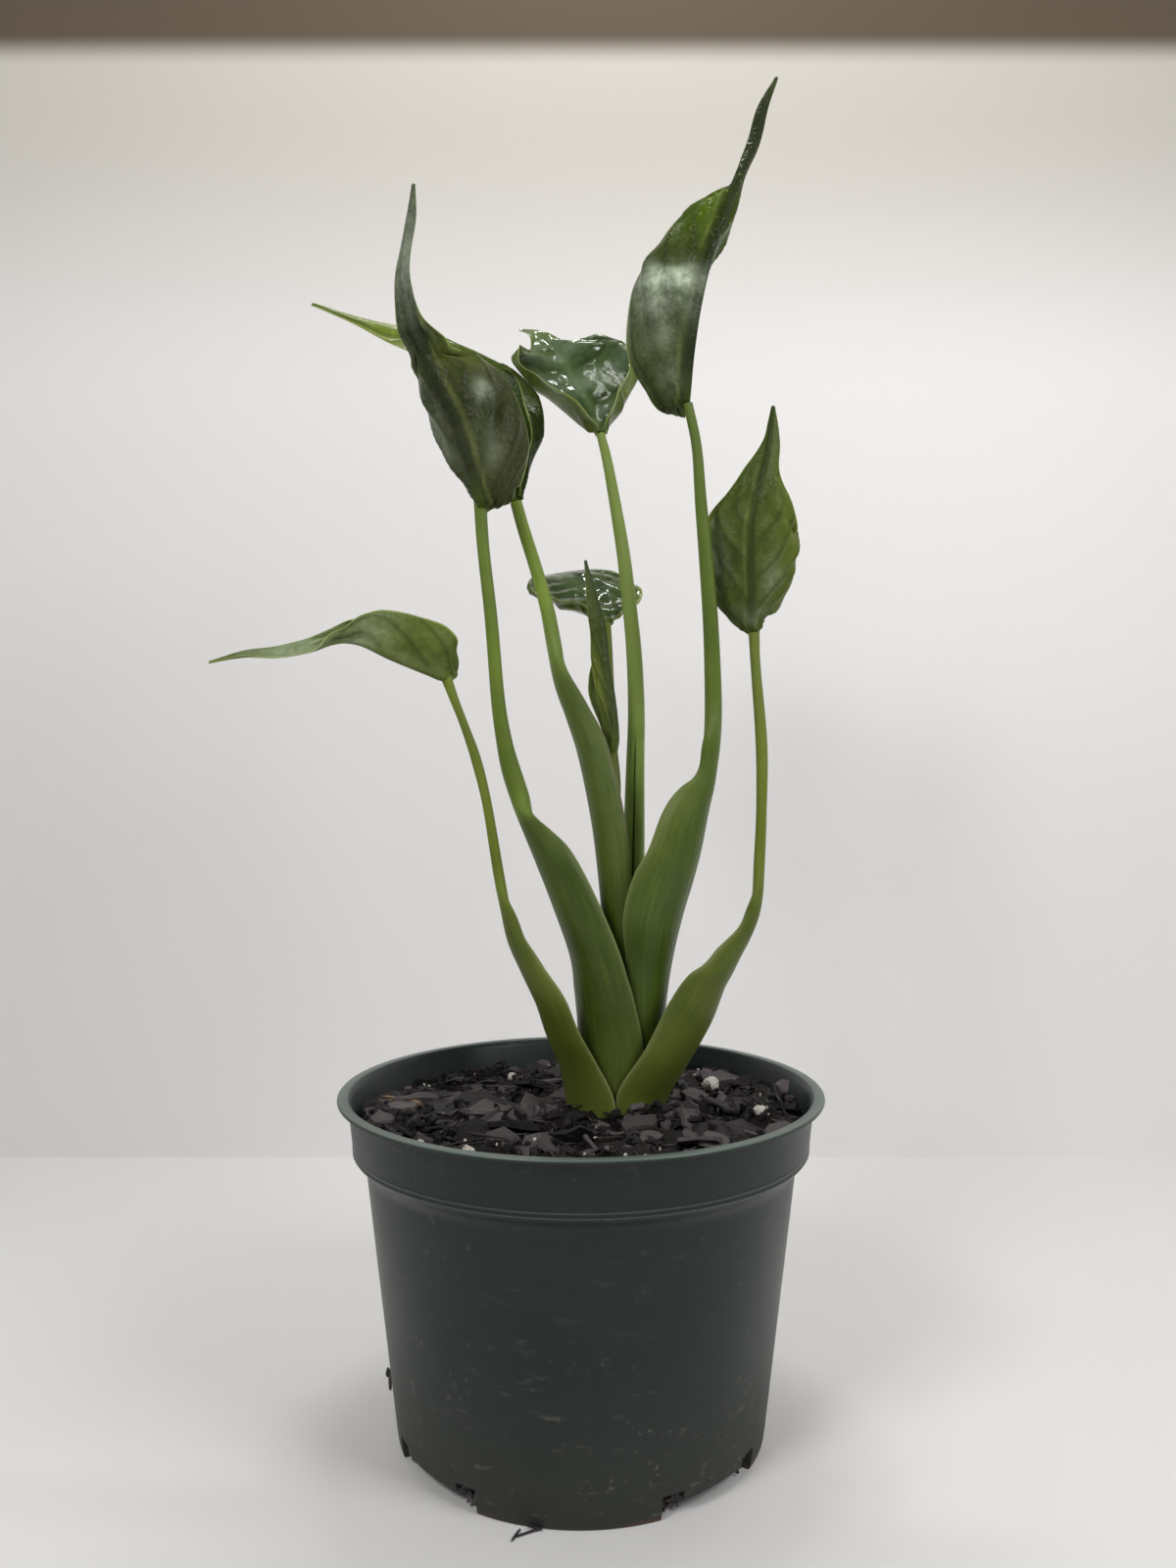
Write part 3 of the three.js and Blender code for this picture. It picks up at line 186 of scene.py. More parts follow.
# Stalks, top to foot, in mm: centre of the spine, half width round the bend, half thickness, bend
# (1/radius) and the way the open side faces (degrees from +X towards +Y).
STALK = {
    "a": (rods(0, (-44.8, -15, 253.9, 1.8), (-42.2, -15, 246.8, 1.5), (-38.9, -15, 238.3, 1.4),
               (-35, -14.5, 226.9, 1.7), (-31.4, -14, 212.1, 1.6), (-27.7, -13, 189.5, 1.8))
         + [[-25.2, -12.5, 176, 4.9, 1.7, 0.312, 0], [-23.1, -12, 165.8, 7.6, 1.5, 0.227, 0],
            [-18.9, -11.5, 156.2, 10.8, 1.5, 0.154, 0], [-14.1, -10.5, 145.5, 14.3, 1.4, 0.118, 0],
            [-10.4, -9.6, 134.4, 13.8, 1.4, 0.111, 10], [-4.9, -8.1, 121.9, 13.6, 1.4, 0.083, 25],
            [-1.5, -7.8, 111.2, 15.3, 1.4, 0.057, 34], [-0.9, -8.1, 104.8, 14.4, 1.4, 0.058, 36]]),
    "f": (rods(180, (59.2, -4, 270.4, 1.9), (59.6, -5, 258.9, 1.7), (61.3, -7, 232, 2),
               (61.1, -8, 209.7, 1.8), (60.3, -8.5, 192.2, 1.9))
         + [[59.4, -8.5, 178.6, 4.8, 1.8, 0.312, 180], [57, -8, 169.6, 7.2, 1.6, 0.217, 180],
            [52.3, -7, 159.8, 12.7, 1.5, 0.143, 180], [48, -6, 150.7, 17.7, 1.4, 0.105, 180],
            [42.9, -7.8, 138.8, 18.4, 1.4, 0.091, 165], [33.8, -9.1, 124.6, 15.9, 1.4, 0.077, 152],
            [26.4, -7.1, 111.9, 17, 1.4, 0.062, 146], [25.9, -6.7, 104.4, 15.8, 1.4, 0.064, 146]]),
    "b": (rods(0, (-34.2, -10, 316, 2.2), (-33.1, -9.5, 298.9, 2.1), (-30.4, -8.7, 274, 2.2),
               (-28.2, -7.4, 247, 2.4), (-26.0, -6.4, 232.4, 2.8), (-23.8, -5.6, 223.2, 3.3))
         + [[-20.9, -5, 214, 3.7, 3.3, 0.03, 0], [-19.2, -4.4, 207.6, 6.4, 2.7, 0.18, 0],
            [-17.0, -3.8, 200.1, 12, 1.9, 0.16, 0], [-13.9, -3, 191.8, 17, 1.7, 0.115, 0],
            [-8.4, -2, 177.3, 20.1, 1.6, 0.095, 0], [-2.6, -1, 160, 22.6, 1.5, 0.083, 0],
            [-1, -0.4, 148, 25, 1.5, 0.08, 2], [0.1, 0.3, 136, 26.5, 1.5, 0.076, 5],
            [0.3, -0.3, 124, 27.3, 1.5, 0.074, 10], [0.3, -0.8, 112, 26, 1.5, 0.075, 12],
            [0.3, -0.7, 104.4, 24.5, 1.5, 0.077, 12]]),
    "e": (rods(180, (35.3, -19, 344.2, 1.6), (38.3, -18, 330.2, 1.7), (39.9, -16, 311.9, 2),
               (41.4, -14.5, 297.2, 2.3), (43.5, -12, 272.7, 2.6), (44.7, -9, 247.5, 2.9))
         + [[44.5, -7.5, 233.7, 6.6, 2.9, 0.167, 180], [43.8, -6, 224.1, 7.8, 2.6, 0.167, 180],
            [43.3, -5, 217.7, 13.8, 2.2, 0.133, 180], [41.6, -4, 208.7, 19.9, 2, 0.1, 180],
            [39.6, -3, 197.2, 23.7, 1.9, 0.083, 180], [37.2, -1, 186.6, 27.6, 1.8, 0.074, 180],
            [33.1, 1, 171.6, 27.7, 1.7, 0.071, 180], [29.7, 2.2, 154.6, 20.5, 1.5, 0.093, 180],
            [27.4, 2, 137, 16.5, 1.4, 0.109, 180], [25.1, 2, 120, 16.8, 1.4, 0.105, 176],
            [23, 1.6, 104.4, 17, 1.5, 0.109, 174]]),
    "c": (rods(0, (-23, 6.6, 317.9, 2.1), (-20.4, 6.8, 308.6, 2.2), (-16, 7.6, 294.6, 2.3),
               (-12.2, 8.6, 281.1, 2.5))
         + [[-9.6, 9, 267.5, 3.9, 2.7, 0.1, 0], [-7.3, 9, 254.5, 7.2, 2.4, 0.19, 0],
            [-3.5, 8.5, 242.7, 10, 2.1, 0.175, 0], [0.2, 7.3, 230.5, 12.9, 1.9, 0.14, 0],
            [3.6, 5, 214.7, 14, 1.8, 0.13, 0], [6.2, 3, 198.2, 14.4, 1.7, 0.125, 0],
            [8.5, 1.5, 175.6, 14.4, 1.7, 0.119, 0], [9.8, 2, 149.3, 11.9, 1.4, 0.143, 0],
            [8.4, 3, 120, 11.2, 1.4, 0.156, 0], [8, 2.8, 104.1, 10.1, 1.3, 0.172, 0]]),
    "d": (rods(-100, (7, 25, 347.4, 1.6), (10, 24, 334.2, 1.9), (15.0, 23, 304.8, 2.4),
               (17.4, 22, 284.2, 2.6))
         + rods(-102, (18.8, 21, 270.2, 2.75))
         + rods(-105, (19.6, 20.6, 256.5, 2.9))
         + rods(-102, (19.9, 20.5, 243, 3.05))
         + rods(-98, (19.6, 20.4, 229.5, 3.25))
         + rods(-96, (19.3, 20.3, 215.7, 3.55), (19, 20.3, 196.2, 3.9), (18.6, 20.9, 169, 4.1),
                (17.8, 20.7, 139, 4), (17.2, 18.4, 104, 3.7))),
    "g": rods(0, (9.3, 45.6, 280.3, 1.9), (9.9, 40, 269.2, 1.8), (10.7, 34, 250.9, 1.7),
              (11.4, 30, 233.1, 1.8), (12.6, 28, 216.3, 1.9), (10.5, 26.5, 193.8, 2),
              (8.5, 25, 169.1, 2), (6.8, 22, 135.2, 1.9), (6.2, 20, 104, 1.9)),
    "h": rods(0, (10.1, 9, 231.3, 1.9), (11.3, 9, 218.8, 2.1), (13.6, 5, 198.1, 2.1),
              (15, 2.5, 170.7, 2), (14.6, 2.5, 136.8, 1.9), (13.9, 3, 103.9, 1.7)),
}

# How much shorter the far wing of each sheath is than the near one.
FAR_WING = {"a": 0.5, "b": 0.42, "c": 0.35, "e": 0.42, "f": 0.5}

# Perlite grains: x, y and radius. Bark chips that stand out: x, y, length, width, thickness, turn,
# tilt and lift.
PERLITE = [[-26.9, 49.7, 1.7], [46.6, 18.4, 2.7], [59.3, -16, 1.9], [-50.6, -37, 1.7],
           [-34.3, -46, 1.9], [-12.2, -58.7, 1.6]]
NAMED_CHIPS = [[-19.5, -17, 9, 7, 2.6, 20, 62, 2.4], [-9.2, -42, 10, 8, 2.4, 75, 35, 1.6],
               [18.5, -27, 13, 8, 2.6, -15, 24, 1.6], [-58, 12, 19, 6, 2.4, 10, 8, 1.2],
               [40, 4, 15, 8, 2.4, 30, 18, 1.6], [50, 30, 14, 9, 2.4, -20, 15, 1.6],
               [70, 3, 9, 6, 2.2, 60, 40, 4.2], [62, -34, 14, 8, 2.4, 55, 12, 1.4],
               [-38, -60, 13, 9, 2.4, -30, 14, 1.4], [-66, -14, 12, 8, 2.4, 80, 16, 1.6]]

# Each blade's finish: lateral veins along the rib and their slant, quilting and edge wave in mm,
# how strongly the fine net stands out, seed, tones, roughness, the rib's tone, the half width
# of a keel in mm, whose dark rib tone is painted shade, a pale line beside the rib as (offset in
# mm, strength), then places painted with the glow of light shining through and places painted
# with a silvery sheen, which also get a coat, both as (share along, share across, reach along,
# reach across, strength). glow is the tone of the painted glow, cut the share along where the
# painted sheen fades.
LEAF_LOOK = {
    "a": dict(veins=6, slant=0.30, quilt=0.6, wave=0.3, net=0.5, seed=3, upper="olive",
              under="olive", gloss=0.36, rib=(0.110, 0.140, 0.03), lit=[(0.98, 0, 0.06, 3, 0.5)],
              bloom=[(0.66, 0, 0.18, 3, 0.36), (0.42, 0.2, 0.10, 0.9, 0.26),
                     (0.2, -0.1, 0.12, 0.3, 0.12)]),
    "b": dict(veins=6, slant=0.42, quilt=1.1, wave=0.4, net=0.8, seed=5, upper="deep", under="dusk",
              gloss=0.36, rib=(0.018, 0.024, 0.009), keel=2.1, line=(3.0, 0.30),
              lit=[(0.47, 0.75, 0.05, 0.5, 0.6), (0.45, -0.9, 0.04, 0.5, 0.4)],
              bloom=[(0.345, 0.44, 0.03, 0.12, 0.44), (0.20, 0.28, 0.06, 0.12, 0.16),
                     (0.3, -0.8, 0.25, 0.5, 0.34),
                     (0.80, 0, 0.20, 3, 0.30)]),
    "c": dict(veins=7, slant=0.30, quilt=0.3, wave=0.3, net=0.3, seed=7, upper="deep",
              under="shade", gloss=0.24, rib=(0.09, 0.13, 0.03), lit=[(0.85, 0, 0.28, 3, 0.75)]),
    "d": dict(veins=5, slant=0.25, quilt=0.9, wave=0.5, net=0.12, seed=11, upper="bright",
              under="olive", gloss=0.12, rib=(0.10, 0.15, 0.06),
              lit=[(0.62, 0.7, 0.10, 0.6, 0.3), (0.86, 0, 0.10, 3, 0.35)],
              bloom=[(0.5, 0, 2, 3, 0.43), (0.60, 0.40, 0.12, 0.30, 0.66),
                     (0.40, 0.95, 0.2, 0.12, 0.55),
                     (0.74, -0.35, 0.06, 0.5, 0.48)]),
    "e": dict(veins=6, slant=0.45, quilt=1.3, wave=0.4, net=1.0, seed=13, upper="deep",
              under="grey", gloss=0.36, rib=(0.018, 0.025, 0.009), keel=2.6, line=(-3.4, 0.35),
              glow=(0.075, 0.125, 0.004), lit=[(0.58, -0.40, 0.12, 0.9, 0.95),
                                               (0.56, 0.8, 0.10, 0.4,
                                                0.5)], bloom=[(0.35, -0.45, 0.035, 0.40, 1.5),
                                                              (0.30, -0.52, 0.05, 0.42, 0.65),
                     (0.22, -0.42, 0.05, 0.24, 0.26), (0.12, -0.30, 0.04, 0.20, 0.24),
                     (0.36, -0.98, 0.18, 0.16, 0.30)], cut=0.375),
    "f": dict(veins=7, slant=0.35, quilt=1.3, wave=0.3, net=0.6, seed=17, upper="deep",
              under="fern", gloss=0.38, rib=(0.030, 0.044, 0.012), line=(-2.2, 0.35),
              lit=[(0.45, 0.80, 0.28, 0.40, 0.42), (0.5, -0.9, 0.1, 0.3, 0.4)],
              bloom=[(0.34, -0.6, 0.12, 0.25, 0.20), (0.1, 0.0, 0.04, 0.8, 0.16),
                     (0.25, 0.3, 0.08, 0.15, 0.22)]),
    "g": dict(veins=6, slant=0.25, quilt=1.0, wave=0.5, net=0.12, seed=19, upper="bright",
              under="olive", gloss=0.12, rib=(0.10, 0.15, 0.06), lit=[(0.3, -0.95, 0.25, 0.3, 0.5)],
              bloom=[(0.5, 0, 2, 3, 0.3)]),
    "h": dict(veins=5, slant=0.30, quilt=0.25, wave=0.2, net=0.5, seed=23, upper="olive",
              under="young", gloss=0.36, rib=(0.06, 0.08, 0.03), lit=[(0.35, -0.8, 0.2, 0.5, 0.6)]),
}
# The deep and the pale tone that a blade's side is mottled with.
TONES = {
    "deep": [(0.028, 0.056, 0.008), (0.052, 0.095, 0.016)],
    "bright": [(0.040, 0.072, 0.027), (0.086, 0.134, 0.056)],
    "olive": [(0.078, 0.112, 0.020), (0.140, 0.180, 0.040)],
    "grey": [(0.030, 0.046, 0.011), (0.074, 0.098, 0.031)],
    "dusk": [(0.026, 0.034, 0.010), (0.068, 0.080, 0.030)],
    "shade": [(0.022, 0.038, 0.006), (0.050, 0.074, 0.015)],
    "fern": [(0.058, 0.084, 0.015), (0.105, 0.138, 0.031)],
    "young": [(0.055, 0.072, 0.020), (0.120, 0.146, 0.046)],
}
# Each stalk's deep and pale tone, how much brighter its rod is, and a pale patch low on it as
# (height and reach in mm, strength).
STALK_LOOK = {
    "a": [(0.060, 0.088, 0.007), (0.110, 0.145, 0.014), 1.6, (157, 8, 0.5)],
    "f": [(0.064, 0.094, 0.007), (0.115, 0.150, 0.014), 1.5, (163, 9, 0.55)],
    "b": [(0.046, 0.078, 0.008), (0.086, 0.126, 0.015), 1.9, (203, 7, 0.3)],
    "e": [(0.054, 0.094, 0.010), (0.100, 0.148, 0.019), 1.3, (203, 16, 0.6)],
    "c": [(0.054, 0.091, 0.010), (0.098, 0.140, 0.019), 2.5, (0, 1, 0)],
    # Stalk d is painted far lighter than the others, as painted light where it stands in the shade
    # of the blades before it.
    "d": [(0.170, 0.280, 0.045), (0.310, 0.425, 0.086), 0.60, (0, 1, 0)],
    "g": [(0.086, 0.125, 0.014), (0.142, 0.182, 0.027), 1.3, (0, 1, 0)],
    "h": [(0.086, 0.120, 0.013), (0.140, 0.176, 0.025), 1.2, (0, 1, 0)],
}

BLADE_ROWS, BLADE_COLUMNS = 130, 52
STALK_ROWS, STALK_SIDES = 150, 40
SPIN_STEPS, BED_STEPS = 160, 180
CHIP_COUNT, CRUMB_COUNT, FIBRE_COUNT, SPECK_COUNT, DRAIN_SCRAPS = 400, 3300, 240, 90, 14

# In mm: a blade's greatest thickness, the bed's thickness and radius, the reach of loose pieces,
# and the stalk that is rolled shut and opens into its rod between two heights.
BLADE_SHEET = 1.9
BED_SHEET, BED_RADIUS, LOOSE_REACH = 2.2, 76.6, 75.6
ROLLED_STALK, SEAM_END, ROD_START = "d", (228, 240), (225, 260)


# Curves and surfaces

def spline(rows, t):
    """Smooth curve through rows of numbers at t from 0 to 1."""
    rows = np.asarray(rows, float)
    x = np.clip(t, 0, 1) * (len(rows) - 1)
    i = np.minimum(np.floor(x).astype(int), len(rows) - 2)
    w = (x - i).reshape(-1, *([1] * (rows.ndim - 1)))
    padded = np.concatenate([[2 * rows[0] - rows[1]], rows, [2 * rows[-1] - rows[-2]]])
    p0, p1, p2, p3 = padded[i], padded[i + 1], padded[i + 2], padded[i + 3]
    v0, v1 = (p2 - p0) / 2, (p3 - p1) / 2
    return ((2 * p1 - 2 * p2 + v0 + v1) * w**3 + (-3 * p1 + 3 * p2 - 2 * v0 - v1) * w**2
            + v0 * w + p1)


def unit(v):
    return v / np.maximum(np.linalg.norm(v, axis=-1, keepdims=True), 1e-12)


def even_share(rows, share):
    """Curve parameter at even shares of the length."""
    t = np.linspace(0, 1, 200)
    steps = np.linalg.norm(np.diff(spline(rows, t), axis=0), axis=1)
    length = np.concatenate([[0], np.cumsum(steps)])
    return np.interp(share, length / length[-1], t)


def profile(rows, share):
    """Smooth values of rows [share, value ...] at the given shares."""
    rows = np.asarray(rows, float)
    x, v = rows[:, 0], rows[:, 1:]
    slope = np.empty_like(v)
    slope[1:-1] = (v[2:] - v[:-2]) / (x[2:] - x[:-2])[:, None]
    slope[0] = (v[1] - v[0]) / (x[1] - x[0])
    slope[-1] = (v[-1] - v[-2]) / (x[-1] - x[-2])
    i = np.clip(np.searchsorted(x, share, side="right") - 1, 0, len(x) - 2)
    h = (x[i + 1] - x[i])[:, None]
    t = np.clip((share[:, None] - x[i][:, None]) / h, 0, 1)
    return ((2 * t**3 - 3 * t**2 + 1) * v[i] + (t**3 - 2 * t**2 + t) * h * slope[i]
            + (-2 * t**3 + 3 * t**2) * v[i + 1] + (t**3 - t**2) * h * slope[i + 1])


def smooth(x, low, high):
    t = np.clip((x - low) / (high - low), 0, 1)
    return t * t * (3 - 2 * t)


def folded_surface(leaf, u, s):
    """Points (rows, columns, 3) of a folded blade; s runs from -1, left margin, to 1, right."""
    t = even_share(leaf["rib"], u)
    centre = spline(leaf["rib"], t)
    along = unit(spline(leaf["rib"], t + 0.002) - spline(leaf["rib"], t - 0.002))
    look = np.radians(profile(leaf["face"], u))
    turn, rise = look[:, 0], look[:, 1]
    face = np.stack([np.sin(turn) * np.cos(rise), np.cos(turn) * np.cos(rise), np.sin(rise)], -1)
    up = unit(face - (face * along).sum(-1, keepdims=True) * along)
    side = np.cross(up, along)
    rounding = np.sqrt(1 - (1 - np.minimum(u / leaf["base"], 1)) ** 2)
    points = np.empty((len(u), len(s), 3))
    for right in (False, True):
        columns = s > 0 if right else s <= 0
        share = np.abs(s[columns])[None]
        width = profile(leaf["right" if right else "left"], u)[:, :1] * rounding[:, None]
        width = np.maximum(width, 0.9 - 0.6 * smooth(u, 0.8, 1.0)[:, None])
        turn = np.radians(profile(leaf["fold_right" if right else "fold_left"], u))
        start, change = turn[:, :1], turn[:, 1:] - turn[:, :1]
        change = np.where(np.abs(change) < 1e-4, 1e-4, change)
        across = (np.sin(start + change * share) - np.sin(start)) / change * width
        across = across if right else -across
        rise = (np.cos(start) - np.cos(start + change * share)) / change * width
        fade = np.clip(1 - u / (0.3 if leaf["base"] == 0.1 else 0.35), 0, 1) ** 2
        back = leaf["lobes"][1 if right else 0] * (rounding * fade)[:, None] * share**2
        points[:, columns] = (centre[:, None] + side[:, None] * across[..., None]
                              + up[:, None] * rise[..., None] - along[:, None] * back[..., None])
    return points


def spread_surface(net, u, s):
    net = np.asarray(net, float)
    rows = spline(net, u)
    return spline(rows.transpose(1, 0, 2), (1 - s) / 2).transpose(1, 0, 2)


def surface_normals(points):
    du = np.gradient(points, axis=0)
    dv = np.gradient(points, axis=1)
    return unit(np.cross(du, dv))


# Modelling

def nothing_selected():
    if bpy.context.object and bpy.context.object.mode != "OBJECT":
        bpy.ops.object.mode_set(mode="OBJECT")
    bpy.ops.object.select_all(action="DESELECT")


def renamed(name):
    piece = bpy.context.object
    piece.name = name
    piece.data.name = name
    return piece


def editing():
    """Edit mode with the whole mesh selected."""
    bpy.ops.object.mode_set(mode="EDIT")
    bpy.ops.mesh.select_all(action="SELECT")


def faced_outward():
    """The end of an edit: every normal turned outward."""
    bpy.ops.mesh.select_all(action="SELECT")
    bpy.ops.mesh.normals_make_consistent(inside=False)
    nothing_selected()


def cut_up_cube(name, cuts):
    nothing_selected()
    bpy.ops.mesh.primitive_cube_add(size=1)
    piece = renamed(name)
    editing()
    bpy.ops.mesh.subdivide(number_cuts=cuts)
    nothing_selected()
    return piece


def coordinates(piece):
    flat = np.empty(len(piece.data.vertices) * 3, np.float32)
    piece.data.vertices.foreach_get("co", flat)
    return flat.reshape(-1, 3).astype(float)


def placed(piece, points):
    piece.data.vertices.foreach_set("co", np.asarray(points, np.float32).ravel())
    piece.data.update()


def grid_piece(name, columns, rows):
    """A flat grid, and for each of its vertices the column and row it stands in."""
    nothing_selected()
    bpy.ops.mesh.primitive_grid_add(x_subdivisions=columns, y_subdivisions=rows, size=1)
    piece = renamed(name)
    flat = coordinates(piece)
    column = np.rint((flat[:, 0] + 0.5) * columns).astype(int)
    row = np.rint((flat[:, 1] + 0.5) * rows).astype(int)
    return piece, column, row


def attribute(piece, name, values):
    layer = piece.data.attributes.new(name, "FLOAT", "POINT")
    layer.data.foreach_set("value", np.asarray(values, np.float32).ravel())


def modified(piece, kind, **settings):
    bpy.context.view_layer.objects.active = piece
    modifier = piece.modifiers.new(kind.title(), kind)
    for key, value in settings.items():
        setattr(modifier, key, value)
    bpy.ops.object.modifier_apply(modifier=modifier.name)


def finished(piece, material, slot, *nodes):
    piece.data.materials.clear()
    piece.data.materials.append(material)
    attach(piece, "root")
    if nodes:
        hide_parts(*nodes)
    return piece


def smoothed(piece, angle=None):
    nothing_selected()
    piece.select_set(True)
    bpy.context.view_layer.objects.active = piece
    if angle is None:
        bpy.ops.object.shade_smooth()
    else:
        bpy.ops.object.shade_smooth_by_angle(angle=math.radians(angle))
    piece.select_set(False)


# Shader building

class Tree:
    """Adds nodes to a material or a group, with sockets given as values or links."""

    def __init__(self, tree):
        self.tree = tree

    def node(self, kind, sockets=None, **settings):
        node = self.tree.nodes.new(kind)
        for key, value in settings.items():
            setattr(node, key, value)
        for key, value in (sockets or {}).items():
            self.given(value, node.inputs[key])
        return node

    def given(self, value, socket):
        """A link where the value is another node's socket, and otherwise the value itself."""
        if isinstance(value, bpy.types.NodeSocket):
            self.link(value, socket)
        elif socket.type == "RGBA":
            socket.default_value = (*value[:3], 1)
        else:
            socket.default_value = value

    def link(self, value, socket):
        self.tree.links.new(value, socket)

    def math(self, operation, a, b, clamp=False):
        settings = {"operation": operation, "use_clamp": clamp}
        return self.node("ShaderNodeMath", {0: a, 1: b}, **settings).outputs[0]

    def times(self, a, b):
        return self.math("MULTIPLY", a, b)

    def plus(self, a, b, clamp=False):
        return self.math("ADD", a, b, clamp)

    def vector_math(self, operation, a, b):
        return self.node("ShaderNodeVectorMath", {0: a, 1: b}, operation=operation).outputs[0]

    def range(self, value, low, high, to_low=0.0, to_high=1.0):
        sockets = {"Value": value, "From Min": low, "From Max": high, "To Min": to_low,
                   "To Max": to_high}
        return self.node("ShaderNodeMapRange", sockets, interpolation_type="SMOOTHSTEP").outputs[0]

    def mix(self, factor, a, b):
        """Colour a turned into colour b by the factor."""
        node = self.node("ShaderNodeMix", data_type="RGBA")
        for index, value in ((0, factor), (6, a), (7, b)):
            self.given(value, node.inputs[index])
        return node.outputs[2]

    def noise(self, vector, scale, detail=2.0, roughness=0.5):
        sockets = {"Vector": vector, "Scale": scale, "Detail": detail, "Roughness": roughness}
        return self.node("ShaderNodeTexNoise", sockets).outputs["Fac"]

    def stretched(self, vector, scale, turn=(0, 0, 0)):
        sockets = {"Vector": vector, "Scale": scale, "Rotation": turn}
        return self.node("ShaderNodeMapping", sockets).outputs[0]

    def attribute(self, name):
        return self.node("ShaderNodeAttribute", attribute_name=name).outputs["Fac"]


def group(name, inputs, outputs):
    """A node group. Sockets are (label, kind), where a number is a value socket's default."""
    tree = bpy.data.node_groups.new(name, "ShaderNodeTree")
    for label, kind in inputs:
        value = isinstance(kind, float)
        socket_type = "NodeSocketFloat" if value else f"NodeSocket{kind}"
        socket = tree.interface.new_socket(label, in_out="INPUT", socket_type=socket_type)
        if value:
            socket.default_value = kind
    for label, kind in outputs:
        tree.interface.new_socket(label, in_out="OUTPUT", socket_type=f"NodeSocket{kind}")
    given = tree.nodes.new("NodeGroupInput").outputs
    result = tree.nodes.new("NodeGroupOutput").inputs
    return tree, Tree(tree), given, result


def material(name, **constants):
    """A new material: its Tree, its Principled shader and its Object coordinates."""
    made = bpy.data.materials.new(name)
    made.use_nodes = True
    shader = made.node_tree.nodes["Principled BSDF"]
    for key, value in constants.items():
        shader.inputs[key.replace("_", " ")].default_value = value
    tree = Tree(made.node_tree)
    return made, tree, shader, tree.node("ShaderNodeTexCoord").outputs["Object"]


def placed_group(tree, which, **sockets):
    node = tree.node("ShaderNodeGroup")
    node.node_tree = which
    for key, value in sockets.items():
        tree.given(value, node.inputs[key.replace("_", " ")])
    return node.outputs


def bumped(tree, shader, height, distance, strength=1.0):
    sockets = {"Height": height, "Distance": distance, "Strength": strength}
    bump = tree.node("ShaderNodeBump", sockets)
    tree.link(bump.outputs[0], shader.inputs["Normal"])


def linked(tree, shader, **sockets):
    for key, value in sockets.items():
        tree.link(value, shader.inputs[key.replace("_", " ")])


# Shared effects

def make_vein_net():
    """The fine net of veins that breaks a blade into small raised cells."""
    made, t, given, result = group("vein_net", [("Vector", "Vector"), ("Cell Size", 0.0026)],
                                   [("Height", "Float"), ("Line", "Float")])
    scale = t.math("DIVIDE", 1.0, given["Cell Size"])
    sockets = {"Vector": given["Vector"], "Scale": 180.0, "Detail": 1.0}
    wander = t.node("ShaderNodeTexNoise", sockets).outputs["Color"]
    shifted = t.vector_math("MULTIPLY", wander, (0.0012, 0.0012, 0.0012))
    vector = t.vector_math("ADD", given["Vector"], shifted)
    cells = t.node("ShaderNodeTexVoronoi", {"Vector": vector, "Scale": scale},
                   feature="DISTANCE_TO_EDGE")
    t.link(t.range(cells.outputs["Distance"], 0.0, 0.32), result["Height"])
    t.link(t.range(cells.outputs["Distance"], 0.10, 0.0), result["Line"])
    return made


def make_leaf_tones():
    """Blade colour from its side, veins, rib, rim, blotches and the painted glow where light shines
    through.
    """
    values = ("Upper Side", "Vein", "Rib", "Rim", "Blotch", "Net Line", "Rib Line", "Lit")
    colours = ("Upper Deep", "Upper Pale", "Under Deep", "Under Pale", "Vein Tone", "Rim Tone",
               "Rib Tone", "Lit Tone")
    made, t, given, result = group(
        "leaf_tones", [(label, 0.0) for label in values] + [(label, "Color") for label in colours],
        [("Color", "Color")])
    upper = t.mix(given["Blotch"], given["Upper Deep"], given["Upper Pale"])
    under = t.mix(given["Blotch"], given["Under Deep"], given["Under Pale"])
    colour = t.mix(given["Upper Side"], under, upper)
    colour = t.mix(t.times(given["Net Line"], 0.35), colour, given["Under Deep"])
    # Painted glow: a paler, yellower tone where light shines through the blade.
    colour = t.mix(given["Lit"], colour, given["Lit Tone"])
    colour = t.mix(t.times(given["Vein"], 0.6), colour, given["Vein Tone"])
    colour = t.mix(t.times(given["Rib"], 0.85), colour, given["Rib Tone"])
    colour = t.mix(given["Rib Line"], colour, given["Rim Tone"])
    t.link(t.mix(given["Rim"], colour, given["Rim Tone"]), result["Color"])
    return made


def make_dust():
    """Sparse pale specks and smears."""
    inputs = [("Vector", "Vector"), ("Amount", 0.3), ("Speck Size", 0.004)]
    made, t, given, result = group("dust", inputs, [("Mask", "Float")])
    scale = t.math("DIVIDE", 1.0, given["Speck Size"])
    specks = t.noise(given["Vector"], scale, 3.0, 0.6)
    patches = t.noise(given["Vector"], t.times(scale, 0.11), 2.0)
    mask = t.times(t.range(specks, 0.60, 0.72), t.range(patches, 0.45, 0.65))
    t.link(t.times(mask, given["Amount"]), result["Mask"])
    return made


def make_grain():
    """Rough grain of crumbs and wood at two sizes."""
    made, t, given, result = group("grain", [("Vector", "Vector"), ("Size", 0.001)],
                                   [("Height", "Float"), ("Fleck", "Float")])
    scale = t.math("DIVIDE", 1.0, given["Size"])
    fine = t.noise(given["Vector"], scale, 4.0, 0.65)
    coarse = t.noise(given["Vector"], t.times(scale, 0.3), 2.0)
    t.link(t.plus(fine, coarse), result["Height"])
    t.link(t.range(fine, 0.52, 0.70), result["Fleck"])
    return made


VEIN_NET = make_vein_net()
LEAF_TONES = make_leaf_tones()
DUST = make_dust()
GRAIN = make_grain()


# Materials

